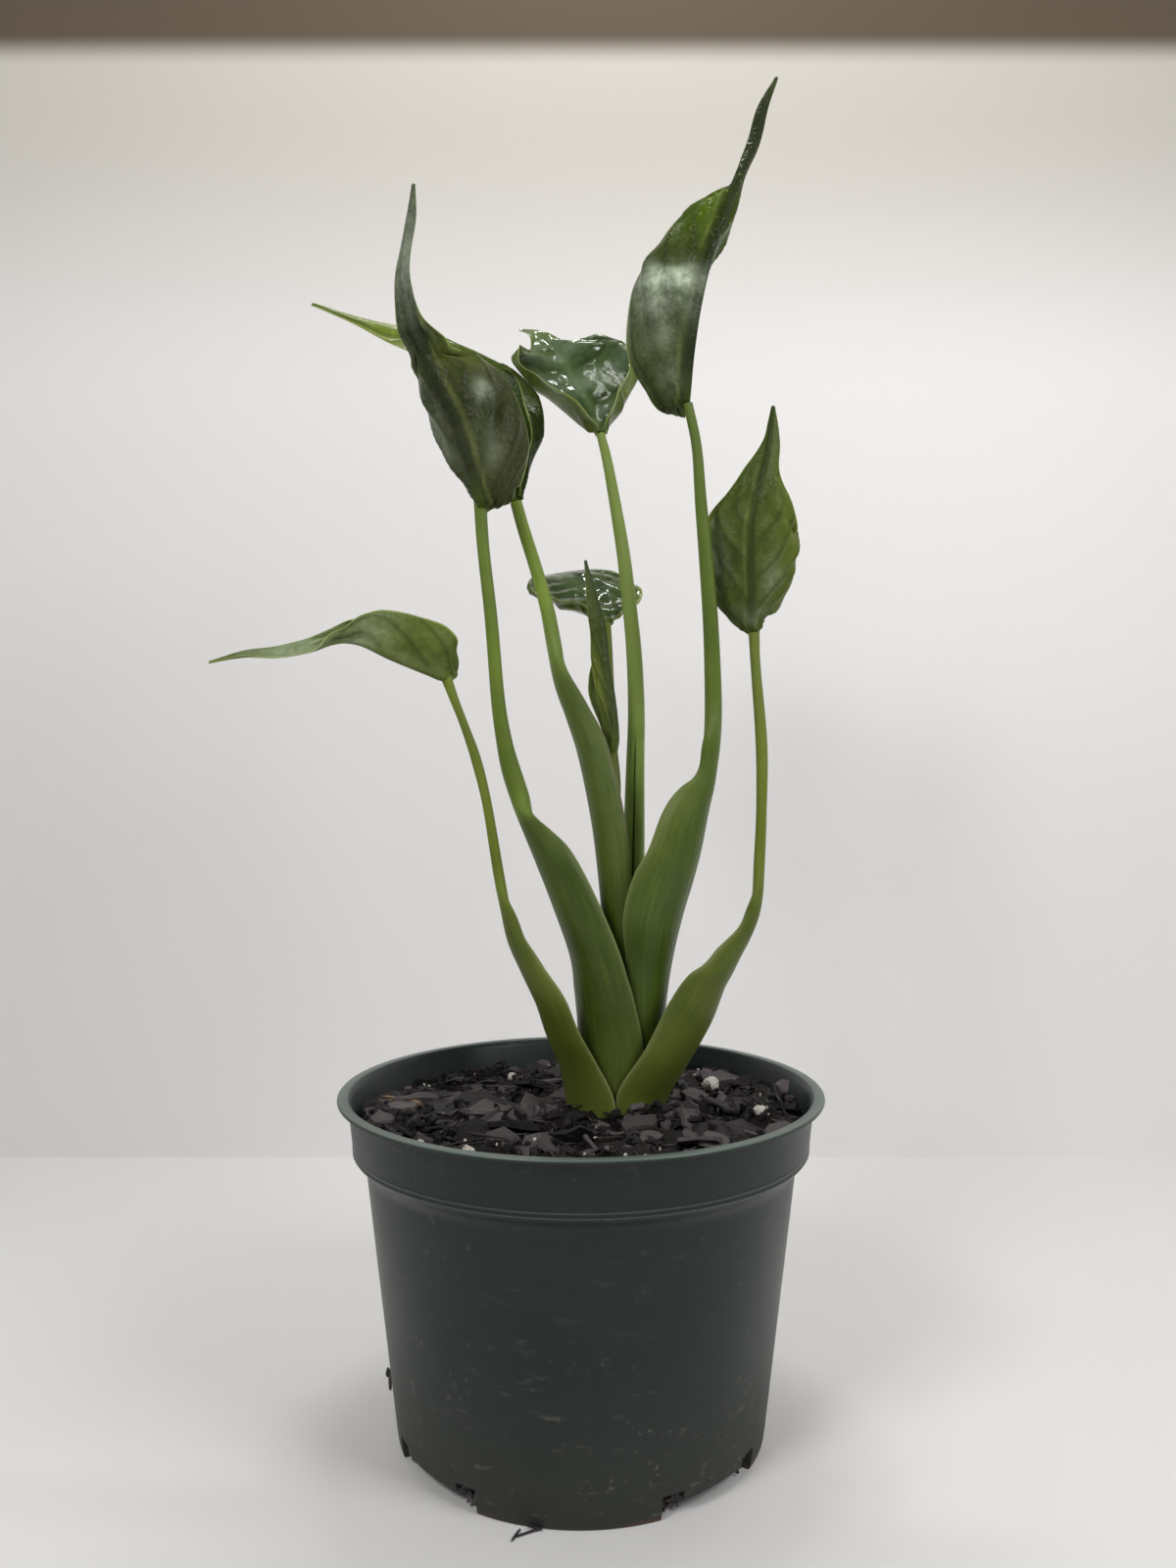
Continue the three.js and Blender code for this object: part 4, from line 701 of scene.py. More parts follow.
# The third tone is the painted glow where light shines through a blade.
VEIN_TONE, RIM_TONE, GLOW_TONE = (0.024, 0.036, 0.009), (0.270, 0.320, 0.090), (0.190, 0.245, 0.030)
NECK_TONE, FLECK_TONE = (0.110, 0.165, 0.022), (0.340, 0.390, 0.080)
# A painted reflection tone for glossy blades, then a painted sheen tone for the others.
VEIL_TONE, BLOOM_TONE = (0.520, 0.620, 0.500), (0.700, 0.820, 0.620)


def leaf_material(key):
    """A blade's finish: a glossy one has a painted silvery reflection, the others a painted cloudy
    sheen, both also set as coat.
    """
    look = LEAF_LOOK[key]
    glossy = look["gloss"] < 0.15
    made, t, shader, position = material(f"leaf_{key}", Specular_IOR_Level=0.4 if glossy else 0.09,
                                         Subsurface_Weight=0.3, Subsurface_Scale=0.0012,
                                         Subsurface_Radius=(0.6, 1.0, 0.15),
                                         Coat_Roughness=0.08 if glossy else 0.27)
    net = placed_group(t, VEIN_NET, Vector=position, Cell_Size=0.0024)
    fine = t.noise(position, 420.0, 3.0, 0.65)
    broad = t.noise(position, 60.0, 3.0, 0.6)
    blotch = t.range(t.plus(broad, t.times(fine, 0.5)), 0.55, 0.98)
    upper, vein, rib, rim, line, lit, bloom = (
        t.attribute(n) for n in ("upper", "vein", "rib", "rim", "line", "lit", "bloom"))
    (upper_deep, upper_pale), (under_deep, under_pale) = TONES[look["upper"]], TONES[look["under"]]
    tones = placed_group(t, LEAF_TONES, Upper_Side=upper, Vein=vein, Rib=rib, Rim=rim,
                         Blotch=blotch, Net_Line=net["Line"], Upper_Deep=upper_deep,
                         Upper_Pale=upper_pale,
                         Under_Deep=under_deep, Under_Pale=under_pale, Vein_Tone=VEIN_TONE,
                         Rim_Tone=RIM_TONE, Rib_Tone=look["rib"], Rib_Line=line, Lit=lit,
                         Lit_Tone=look.get("glow", GLOW_TONE))
    patchy = t.plus(t.times(broad, 0.5), t.times(fine, 0.5))
    roughness = t.range(patchy, 0.35, 0.65, 0.65 * look["gloss"], 1.35 * look["gloss"])
    height = t.times(t.plus(net["Height"], fine), look["net"])
    colour = t.mix(t.times(t.attribute("neck"), 0.85), tones["Color"], NECK_TONE)
    # Yellow flecks, shown only inside the painted glow.
    flecks = t.range(t.noise(position, 520.0, 2.0), 0.60, 0.70)
    colour = t.mix(t.times(t.times(flecks, lit), 0.55), colour, FLECK_TONE)
    if glossy:
        # Painted reflection: a pale veil where the glossy blade mirrors the lamps; half of it also
        # sets the coat.
        veil = t.times(t.math("SUBTRACT", bloom, 0.3, clamp=True), 1.2)
        colour = t.mix(t.times(veil, t.range(patchy, 0.35, 0.65, 0.6, 1.0)), colour, VEIL_TONE)
        bloom = t.times(veil, 0.5)
        sockets = {"Vector": position, "Scale": 190.0, "Smoothness": 0.6}
        pillows = t.node("ShaderNodeTexVoronoi", sockets, feature="SMOOTH_F1").outputs["Distance"]
        height = t.math("SUBTRACT", height, t.times(pillows, 6.0))
    else:
        # Painted sheen: a pale cloudy tone where the blade shines, which also sets the coat.
        bloom = t.times(bloom, t.range(patchy, 0.36, 0.62, 0.45, 1.0))
        colour = t.mix(t.times(bloom, 0.9), colour, BLOOM_TONE)
        bloom = t.times(bloom, 0.6)
    bumped(t, shader, height, 0.00010 if glossy else 0.00016, 0.9)
    linked(t, shader, Base_Color=colour, Roughness=roughness, Coat_Weight=bloom)
    return made


def stalk_material(key):
    """A stalk's finish: fine lines, a paler rod, own tones at foot and wings, a paler inside that
    is partly painted light, and the slit of a rolled stalk painted dark as shade.
    """
    deep, pale, rod = STALK_LOOK[key][:3]
    made, t, shader, position = material(f"stalk_{key}", Specular_IOR_Level=0.35,
                                         Subsurface_Weight=0.25,
                                         Subsurface_Scale=0.002, Subsurface_Radius=(0.5, 1.0, 0.1))
    uv = t.node("ShaderNodeUVMap").outputs[0]
    lines = t.noise(t.stretched(uv, (46.0, 3.0, 1.0)), 3.0, 3.0, 0.6)
    hairs = t.noise(t.stretched(uv, (190.0, 5.0, 1.0)), 3.0, 2.0, 0.6)
    blotch = t.noise(position, 45.0, 2.0)
    tone = t.plus(t.plus(lines, blotch), t.times(hairs, 0.5))
    colour = t.mix(t.range(tone, 0.95, 1.55), deep, pale)
    brighter = tuple(min(rod * c, 1) for c in (pale[0], pale[1], 0.9 * pale[2]))
    edge = (0.200, 0.130, 0.085) if key == "c" else (0.290, 0.330, 0.130)
    for name, strength, painted_on in (
            ("rod", t.range(tone, 0.85, 1.6, 0.35, 1.0), brighter),
            # The sheath's inside: partly its own paler colour, partly painted light in its hollow.
            ("inner", 0.35, (0.130, 0.190, 0.045)),
            ("foot", 0.4, (0.120, 0.140, 0.028)),
            ("patch", t.range(tone, 0.9, 1.5, 0.5, 1.0), (0.200, 0.240, 0.040)),
            # The slit of a rolled stalk is painted dark as the shade in it.
            ("wing", 0.9, edge), ("seam", 0.7, (0.022, 0.040, 0.006))):
        colour = t.mix(t.times(t.attribute(name), strength), colour, painted_on)
    bumped(t, shader, t.plus(lines, t.times(hairs, 0.4)), 0.00016, 0.7)
    linked(t, shader, Base_Color=colour, Roughness=t.range(blotch, 0.3, 0.7, 0.36, 0.48))
    return made


def pot_material():
    """Satin plastic with dust and smears low down, lighter and greyer towards the foot, the lip and
    two ridges painted lighter as highlight, and a brown line at the very foot painted as the shadow
    beneath the pot.
    """
    made, t, shader, position = material("pot_plastic", Specular_IOR_Level=0.33)
    height = t.node("ShaderNodeSeparateXYZ", {0: position}).outputs["Z"]
    cloud = t.noise(position, 22.0, 3.0)
    colour = t.mix(t.range(cloud, 0.3, 0.7), (0.0075, 0.0150, 0.0130), (0.0115, 0.0205, 0.0180))
    smears = t.noise(t.stretched(position, (1.0, 1.0, 3.2)), 85.0, 4.0, 0.7)
    low = t.range(height, 0.055, 0.004)
    dust = placed_group(t, DUST, Vector=position, Amount=0.6, Speck_Size=0.0035)["Mask"]
    scuffed = t.times(t.range(smears, 0.58, 0.74), t.plus(t.times(low, 0.5), 0.14))
    dusty = t.plus(scuffed, t.times(dust, t.plus(low, 0.30)), clamp=True)
    colour = t.mix(dusty, colour, (0.165, 0.160, 0.130))
    colour = t.mix(t.times(low, 0.30), colour, (0.070, 0.066, 0.054))
    # Painted highlight on the lip's outer edge and on the two ridges.
    colour = t.mix(t.times(t.attribute("lip"), 0.8), colour, (0.150, 0.195, 0.170))
    # Painted shadow: a brown line at the very foot, where the pot meets the floor.
    residue = t.times(t.range(height, 0.0022, 0.0006), t.range(cloud, 0.42, 0.55))
    colour = t.mix(residue, colour, (0.085, 0.045, 0.028))
    roughness = t.plus(t.range(cloud, 0.3, 0.7, 0.34, 0.42), t.times(low, 0.15))
    bumped(t, shader, t.noise(position, 900.0, 2.0), 0.00006, 0.5)
    linked(t, shader, Base_Color=colour, Roughness=roughness)
    return made


def mix_material():
    made, t, shader, position = material("loose_mix", Specular_IOR_Level=0.2)
    grain = placed_group(t, GRAIN, Vector=position, Size=0.0014)
    colour = t.mix(grain["Fleck"], (0.0035, 0.0026, 0.0022), (0.020, 0.014, 0.012))
    bumped(t, shader, grain["Height"], 0.0009)
    linked(t, shader, Base_Color=colour, Roughness=t.range(grain["Fleck"], 0.0, 1.0, 0.62, 0.9))
    return made


def bark_material(name):
    made, t, shader, position = material(name, Specular_IOR_Level=0.3)
    fibres = t.stretched(position, (1.0, 2.4, 1.0), (0.3, 0.2, 0.5))
    grain = placed_group(t, GRAIN, Vector=fibres, Size=0.0016)
    tint = t.attribute("tint")
    colour = t.mix(tint, (0.0036, 0.0028, 0.0026), (0.128, 0.108, 0.112))
    colour = t.mix(t.times(grain["Fleck"], t.range(tint, 0.0, 1.0, 0.12, 0.45)), colour,
                   (0.175, 0.135, 0.120))
    colour = t.mix(t.range(tint, 1.2, 2.0), colour, (0.330, 0.215, 0.110))
    bumped(t, shader, grain["Height"], 0.0008)
    linked(t, shader, Base_Color=colour, Roughness=t.range(grain["Fleck"], 0.0, 1.0, 0.55, 0.85))
    return made


def perlite_material():
    made, t, shader, position = material("perlite", Specular_IOR_Level=0.3)
    pores = t.noise(position, 1500.0, 3.0, 0.6)
    colour = t.mix(t.range(pores, 0.35, 0.6), (0.30, 0.26, 0.21), (0.78, 0.75, 0.70))
    bumped(t, shader, pores, 0.0005)
    linked(t, shader, Base_Color=colour, Roughness=t.range(pores, 0.3, 0.7, 0.9, 0.7))
    return made


def corm_material():
    made, t, shader, position = material("corm_skin")
    rings = t.noise(t.stretched(position, (1.0, 1.0, 6.0)), 90.0, 3.0)
    colour = t.mix(t.range(rings, 0.35, 0.65), (0.10, 0.065, 0.03), (0.24, 0.17, 0.09))
    bumped(t, shader, rings, 0.0006)
    linked(t, shader, Base_Color=colour, Roughness=t.range(rings, 0.3, 0.7, 0.7, 0.9))
    return made


# Leaves

def painted(piece, cells, shape, **masks):
    """Vertex masks given on the grid. A mask may lack the axis that it doesn't change along."""
    for name, values in masks.items():
        attribute(piece, name, np.broadcast_to(values, shape)[cells])


def spots(rows, along, across):
    """Soft spots over a blade, the strongest where they meet."""
    strongest = np.zeros((len(along), len(across)))
    for place, place_across, reach, reach_across, amount in rows:
        spot = ((along - place) / reach) ** 2 + ((across - place_across) / reach_across) ** 2
        strongest = np.maximum(strongest, amount * np.exp(-spot))
    return strongest


def blade(key):
    """One blade: a grid laid on the leaf's surface, quilted, then given its thickness."""
    look = LEAF_LOOK[key]
    piece, column, row = grid_piece(f"leaf_{key}", BLADE_COLUMNS, BLADE_ROWS)
    t = np.linspace(0, 1, BLADE_ROWS + 1)
    u = 0.55 * t + 0.225 * (1 - np.cos(np.pi * t))
    across = np.linspace(-1, 1, BLADE_COLUMNS + 1)
    s = -(0.5 * across + 0.5 * np.sin(across * np.pi / 2))
    points = (folded_surface(FOLDED[key], u, s[::-1])[:, ::-1] if key in FOLDED
              else spread_surface(SPREAD[key], u, s))
    up = -surface_normals(points)
    out = np.abs(s)[None]
    along = u[:, None]
    rng = np.random.default_rng(look["seed"])
    shift, pitch = rng.uniform(0, 6, 6), rng.uniform(0.8, 1.25, 6)
    side = np.sign(s)[None]
    phase = look["veins"] * (along - look["slant"] * out**1.2 + 0.02 * side)
    phase = phase + 0.12 * np.sin(9 * along + shift[0] * side)
    between = np.sin(np.pi * phase) ** 2
    stagger = 0.3 * np.sin(np.floor(phase) * 2.4 + shift[1])
    cross = 0.5 + 0.5 * np.cos(2 * np.pi * (2.2 * out**0.8 + stagger))
    body = 1 - smooth(along, 0.52, 0.72)
    quilt = look["quilt"] * body * smooth(out, 0.03, 0.22) * (1 - smooth(out, 0.86, 1.0))
    relief = quilt * (between**0.7 * (0.62 + 0.38 * cross) - 0.35)
    ripple = np.sin(23 * along * pitch[0] + 3 * out + shift[2])
    ripple = ripple * np.sin(11 * out * side * pitch[1] + shift[3])
    relief = relief + 0.5 * look["quilt"] * body * smooth(out, 0.1, 0.4) * ripple
    wave = look["wave"] * out**4 * np.sin(26 * along * pitch[2] + shift[4] * side) * body
    points = points + up * (relief + wave)[..., None]
    placed(piece, points[row, column] * MM)
    vein = np.exp(-((np.abs(phase - np.rint(phase)) / 0.07) ** 2)) * body * smooth(out, 0.0, 0.1)
    vein = vein * (1 - smooth(out, 0.8, 1.0))
    middle = BLADE_COLUMNS // 2
    width = np.linalg.norm(points - points[:, middle: middle + 1], axis=-1)
    rib = keel = np.exp(-((width / (1.5 - 0.9 * smooth(along, 0, 0.8))) ** 2))
    # On a blade with a keel, the rib's mask narrows to the keel, and the rib's dark tone paints it
    # as shade.
    if "keel" in look:
        keel = np.exp(-((width / look["keel"]) ** 4)) * (1 - smooth(along, 0.9, 1))
    offset, strength = look.get("line", (0, 0))
    line = strength * np.exp(-(((width * side - offset) / 0.45) ** 2))
    line = line * (1 - smooth(along, 0.5, 0.8))
    # The painted sheen, cloudier between the veins and fading above the cut.
    mottle = 0.55 + 0.45 * between * body + 0.45 * (1 - body)
    bloom = spots(look.get("bloom", ()), along, s) * mottle
    if "cut" in look:
        edge = look["cut"] + 0.02 * np.sin(9 * out + 1)
        bloom = bloom * (1 - 0.8 * smooth(along, edge, edge + 0.03) * (1 - smooth(out, 0.75, 0.95)))
    neck = np.exp(-((along / 0.09) ** 2) - (width / 1.7) ** 2)
    # Masks for the blade, among them the painted glow of light shining through and the painted
    # sheen.
    painted(piece, (row, column), vein.shape, vein=vein, rib=keel, line=line, neck=neck,
            lit=spots(look["lit"], along, s), bloom=bloom, rim=smooth(out, 0.95, 0.985))
    thick = 0.30 + 0.70 * rib * (1 - 0.6 * smooth(along, 0.1, 0.9)) + 0.16 * vein
    thick = thick * (1 - 0.45 * smooth(out, 0.8, 1.0)) * (1 - 0.6 * smooth(along, 0.85, 1.0))
    thick = np.clip(thick, 0.1, 1)[row, column]
    weights = piece.vertex_groups.new(name="thick")
    for index, value in enumerate(thick):
        weights.add([index], float(value), "REPLACE")
    count = len(piece.data.vertices)
    modified(piece, "SOLIDIFY", thickness=BLADE_SHEET * MM, offset=-1.0, vertex_group="thick",
             thickness_vertex_group=0.0, use_even_offset=False)
    attribute(piece, "upper", (np.arange(len(piece.data.vertices)) < count).astype(float))
    smoothed(piece)
    return finished(piece, leaf_material(key), "leaf", f"blade_{key}")


def stalk(key):
    """One stalk: a grid rolled round its spine, a rod above and an open sheath below."""
    piece, column, row = grid_piece(f"stalk_{key}", STALK_SIDES, STALK_ROWS)
    rows = np.asarray(STALK[key], float)
    t = np.linspace(0, 1, STALK_ROWS + 1)
    x = spline(rows, t)
    along = unit(spline(rows, t + 0.001)[:, :3] - spline(rows, t - 0.001)[:, :3])
    turn = np.radians(x[:, 6])
    out = np.stack([np.cos(turn), np.sin(turn), 0 * turn], -1)
    out = unit(out - (out * along).sum(-1, keepdims=True) * along)
    across = np.cross(along, out)
    angle = -np.linspace(0, 2 * np.pi, STALK_SIDES + 1)[None]
    height, half, thick, bend = (x[:, k: k + 1] for k in (2, 3, 4, 5))
    far = FAR_WING.get(key, 0) * smooth(height, 112, 150) * smooth(bend, 0.03, 0.08)
    rolled = key == ROLLED_STALK
    # The slit of the rolled stalk: a shallow groove, painted dark as the shade in it.
    seam = rolled * (np.sin(angle) > 0.999) * (1 - smooth(height, *SEAM_END))
    p = half * np.cos(angle)
    p = p * np.where(p * across[:, 1:2] > 0, 1 - far, 1)
    q = thick * np.sign(np.sin(angle)) * np.abs(np.sin(angle)) ** 0.8 * (1 - 0.2 * seam)
    curved = bend > 0.001
    radius = np.where(curved, 1 / np.where(curved, bend, 1), 1)
    inward = np.where(curved, radius - (radius - q) * np.cos(p / radius), q)
    sideways = np.where(curved, (radius - q) * np.sin(p / radius), p)
    points = (x[:, None, :3] + out[:, None] * inward[..., None]
              + across[:, None] * sideways[..., None])
    placed(piece, points[row, column] * MM)
    sheath = smooth(half / thick, 2.2, 5.5)
    rod = smooth(height, *ROD_START) if rolled else 1 - smooth(half / thick, 1.3, 3.5)
    place, reach, amount = STALK_LOOK[key][3]
    patch = amount * np.exp(-(((height - place) / reach) ** 2))
    patch = patch * np.abs(np.cos(angle)) ** 3 * sheath
    beside = (np.abs(np.cos(angle) + 0.156) < 0.01) * (np.sin(angle) > 0)
    wing = np.abs(np.cos(angle)) ** 40 * sheath + 0.9 * beside * seam.max(axis=1, keepdims=True)
    # Masks for the stalk; the paler inside of a sheath is partly its own colour and partly painted
    # light in its hollow.
    painted(piece, (row, column), p.shape, rod=rod, patch=patch, seam=seam, wing=wing,
            inner=smooth(np.sin(angle), -0.1, 0.25) * sheath,
            foot=1 - smooth(points[..., 2], 108, 150))
    editing()
    bpy.ops.mesh.remove_doubles(threshold=1e-6)
    bpy.ops.mesh.select_all(action="DESELECT")
    bpy.ops.mesh.select_mode(type="EDGE")
    bpy.ops.mesh.select_non_manifold()
    bpy.ops.mesh.fill()
    faced_outward()
    smoothed(piece, 60)
    return finished(piece, stalk_material(key), "stalk", f"petiole_{key}")


# Pot

POT_OUTSIDE = [[0, 0], [61.4, 0], [61.9, 0.2], [62.2, 0.8], [62.7, 4], [63.3, 9.1], [65.1, 24.3],
               [67.7, 46.4], [70.3, 68.4], [72.7, 88.8], [72.8, 89.6], [73.0, 90.6], [73.5, 91.9],
               [74.4, 93.2], [75.5, 94.3], [76.4, 95.2], [77.0, 95.9], [77.2, 96.2], [77.42, 96.5],
               [77.28, 96.8], [77.25, 97.3], [77.3, 97.65], [77.52, 98.05], [77.42, 98.45],
               [77.5, 99.4], [78.3, 106.5], [78.9, 112.7], [79.05, 113.1], [82.1, 113.1],
               [82.4, 113.25], [82.55, 113.6], [82.5, 114.05], [82.25, 114.4], [81.9, 114.5],
               [79.7, 114.5], [0, 114.5]]
POT_HOLLOW = [[0, 1.8], [59.4, 1.8], [60.2, 2.1], [60.6, 2.6], [71.3, 90.2], [71.8, 92],
              [72.6, 93.6], [73.8, 95.5], [75.6, 97.3], [76.0, 98.2], [77.4, 112.2], [78.8, 114.1],
              [79.2, 114.4], [79.3, 115], [79.3, 117], [0, 117]]
# Heights of the two ridges below the collar, which are painted lighter as highlight.
RING_HEIGHTS = (96.5, 98.05)

# Foot gaps, where they stand round the pot and the drain holes at both ends of each, in degrees.
# Each cutter is its inner and outer radius and its lower and upper end in mm, then its half width
# in degrees.
GAP_CENTRES = (41.5, 131.5, -48.5, -138.5)
DRAIN_TURN = 15.3
STEP = (46.5, 66.2, -1, 6.5, 20.1)
GAP = (48, 66.2, -1, 5, 18.5)
DRAIN = (52.3, 66.9, -0.5, 7.6, 3.4)


def turned(name, rows):
    """A solid spun about Z from a profile, drawn by extruding one vertex."""
    nothing_selected()
    bpy.ops.mesh.primitive_plane_add(size=0.001, location=(rows[0][0] * MM, 0, rows[0][1] * MM))
    piece = renamed(name)
    bpy.ops.object.transform_apply(location=True, rotation=False, scale=False)
    editing()
    bpy.ops.mesh.merge(type="CENTER")
    for (r0, z0), (r1, z1) in zip(rows, rows[1:]):
        step = ((r1 - r0) * MM, 0, (z1 - z0) * MM)
        bpy.ops.mesh.extrude_region_move(TRANSFORM_OT_translate={"value": step})
    bpy.ops.mesh.select_all(action="SELECT")
    bpy.ops.mesh.spin(steps=SPIN_STEPS, angle=2 * math.pi, center=(0, 0, 0), axis=(0, 0, 1))
    bpy.ops.mesh.select_all(action="SELECT")
    bpy.ops.mesh.remove_doubles(threshold=1e-6)
    faced_outward()
    return piece


def sector(name, centre, r0, r1, z0, z1, half):
    """A curved block: a cut-up cube wrapped round the pot's axis. Angles count from the front."""
    piece = cut_up_cube(name, 9)
    block = coordinates(piece) + 0.5
    angle = np.radians(centre + half * (2 * block[:, 0] - 1))
    radius = r1 + (r0 - r1) * block[:, 1]
    z = z0 + (z1 - z0) * block[:, 2]
    placed(piece, np.stack([radius * np.sin(angle), -radius * np.cos(angle), z], -1) * MM)
    return piece


def cut(piece, tool, operation="DIFFERENCE"):
    nothing_selected()
    modified(piece, "BOOLEAN", object=tool, operation=operation, solver="EXACT")
    bpy.data.objects.remove(tool)


def pot():
    """The nursery pot: a spun shell, hollowed, with four foot gaps that end in drain holes."""
    shell = turned("nursery_pot", POT_OUTSIDE)
    hollow = turned("hollow", POT_HOLLOW)
    for centre in GAP_CENTRES:
        cut(hollow, sector("step", centre, *STEP))
    cut(shell, hollow)
    for centre in GAP_CENTRES:
        gap = sector("gap", centre, *GAP)
        for sign in (-1, 1):
            cut(gap, sector("drain", centre + sign * DRAIN_TURN, *DRAIN), "UNION")
        cut(shell, gap)
    flat = coordinates(shell) / MM
    radius, z = np.hypot(flat[:, 0], flat[:, 1]), flat[:, 2]
    # The lip's outer edge and the two ridges are painted lighter as highlight.
    rings = sum(np.exp(-(((z - height) / 0.2) ** 2)) for height in RING_HEIGHTS)
    lip = smooth(z, 113.9, 114.35) * smooth(radius, 78.9, 79.1)
    lip = lip * (0.7 + 0.3 * smooth(radius, 81.0, 82.0))
    attribute(shell, "lip", np.clip(lip + 0.5 * rings * (radius > 76.8), 0, 1))
    smoothed(shell, 32)
    return finished(shell, pot_material(), "pot_plastic", "pot")


# Ground

# The mulch's mean level and its mounds: height, centre x and y, and twice the squared reach along x
# and y.
GROUND = 105.2
MOUNDS = ((3, 13, 2, 1152, 1152), (2.4, -72, 0, 320, 1500), (2.2, -8, -14, 90, 90),
          (3.2, 30, -12, 110, 110))


def ground_height(x, y):
    """Top of the mulch in mm."""
    level = GROUND + 0.03 * x
    for height, at_x, at_y, reach_x, reach_y in MOUNDS:
        level = level + height * np.exp(-((x - at_x) ** 2) / reach_x - (y - at_y) ** 2 / reach_y)
    level = level + 0.9 * np.sin(x / 9 + 1) * np.cos(y / 11) + 0.5 * np.sin((x + y) / 6)
    return level + 1.1 * np.sin(x / 5 + y / 8) * np.sin(y / 6 - x / 12)


def mulch_bed():
    """The crumbly bed that fills the pot up to its surface."""
    nothing_selected()
    bpy.ops.mesh.primitive_circle_add(vertices=BED_STEPS, radius=BED_RADIUS * MM,
                                      fill_type="NOTHING")
    piece = renamed("mulch_bed")
    editing()
    radii = np.linspace(BED_RADIUS, 0.6, 70)
    for before, after in zip(radii, radii[1:]):
        bpy.ops.mesh.extrude_region_move()
        bpy.ops.transform.resize(value=(after / before,) * 3)
    bpy.ops.mesh.merge(type="CENTER")
    nothing_selected()
    flat = coordinates(piece) / MM
    x, y = flat[:, 0], flat[:, 1]
    radius = np.hypot(x, y)
    rng = np.random.default_rng(2)
    lumps = np.zeros(len(x))
    for size, height in ((9, 0.9), (5, 0.9), (3, 0.7), (1.8, 0.5)):
        for _ in range(5):
            turn, start = rng.uniform(0, 2 * np.pi, 2)
            run = x * np.cos(turn) + y * np.sin(turn)
            lumps += height / 5 * np.sin(run * 2 * np.pi / size + start)
    lumps = 1.6 * np.abs(lumps) ** 0.9 * (1 - smooth(radius, 72, 76))
    flat[:, 2] = ground_height(x, y) - 3.0 + lumps - 0.6 * smooth(radius, 70, 77)
    placed(piece, flat * MM)
    modified(piece, "SOLIDIFY", thickness=BED_SHEET * MM, offset=-1.0)
    smoothed(piece, 50)
    return finished(piece, mix_material(), "mix", "bark_mulch")


def taken_up(piece, points):
    """A loose kind: its points and faces. The piece itself goes."""
    faces = [list(p.vertices) for p in piece.data.polygons]
    bpy.data.objects.remove(piece)
    return points, faces


def lump(name, cuts, seed, rounding):
    """A rough lump: a cut-up cube with its corners drawn in and its faces broken."""
    piece = cut_up_cube(name, cuts)
    block = coordinates(piece)
    rng = np.random.default_rng(seed)
    block = block * (1 - rounding) + unit(block) * 0.55 * rounding
    for axis in range(3):
        a, b = rng.uniform(3, 7, 2)
        c, d = rng.uniform(0, 6, 2)
        after, before = block[:, (axis + 1) % 3], block[:, axis - 1]
        block[:, axis] += 0.07 * np.sin(after * a * 2 + c) * np.cos(before * b + d)
    return taken_up(piece, block + rng.normal(0, 0.028, block.shape))


def plate(seed):
    """A flake of bark: an uneven nine-sided slab with a broken top."""
    nothing_selected()
    bpy.ops.mesh.primitive_circle_add(vertices=9, radius=0.5, fill_type="NGON")
    piece = renamed("flake")
    editing()
    bpy.ops.mesh.extrude_region_move(TRANSFORM_OT_translate={"value": (0, 0, 1)})
    bpy.ops.mesh.inset(thickness=0.05)
    bpy.ops.transform.translate(value=(0.01, 0.01, 0.12))
    faced_outward()
    block = coordinates(piece)
    rng = np.random.default_rng(seed)
    corner = np.rint(np.arctan2(block[:, 1], block[:, 0]) / (2 * np.pi / 9)).astype(int) % 9
    block[:, :2] *= rng.uniform(0.60, 1.30, 9)[corner][:, None]
    block[:, 2] += rng.normal(0, 0.15, len(block)) - 0.5 + 0.3 * np.sin(4 * block[:, 0] + seed)
    return taken_up(piece, block)


def rotated(v, first, second, angle):
    """Points turned in the plane of two axes."""
    v = v.copy()
    c, s = np.cos(angle), np.sin(angle)
    a, b = v[:, first].copy(), v[:, second].copy()
    v[:, first], v[:, second] = a * c - b * s, a * s + b * c
    return v


def scattered(name, kinds, places, tints):
    """Copies of a few lumps in one mesh, at places (centre, size, turn about Z, tilt)."""
    points, faces, tint = [], [], []
    count = 0
    for index, (centre, size, turn, tilt) in enumerate(places):
        block, polygons = kinds[index % len(kinds)]
        v = rotated(rotated(block * np.asarray(size), 1, 2, tilt), 0, 1, turn)
        points.append(v + np.asarray(centre))
        faces += [[i + count for i in polygon] for polygon in polygons]
        tint += [tints[index]] * len(block)
        count += len(block)
    points = np.concatenate(points)
    radius = np.hypot(points[:, 0], points[:, 1])
    points[:, :2] *= np.minimum(1, LOOSE_REACH / np.maximum(radius, 1))[:, None]
    mesh = bpy.data.meshes.new(name)
    mesh.from_pydata(points * MM, [], faces)
    piece = bpy.data.objects.new(name, mesh)
    bpy.context.scene.collection.objects.link(piece)
    attribute(piece, "tint", tint)
    smoothed(piece, 35)
    return piece


def inside_pot(rng, count, reach):
    r = reach * np.sqrt(rng.uniform(0, 1, count))
    a = rng.uniform(0, 2 * np.pi, count)
    return r * np.cos(a), r * np.sin(a)


def away_from_perlite(x, y, gap):
    return all(math.hypot(px - x, py - y) > r + gap for px, py, r in PERLITE)


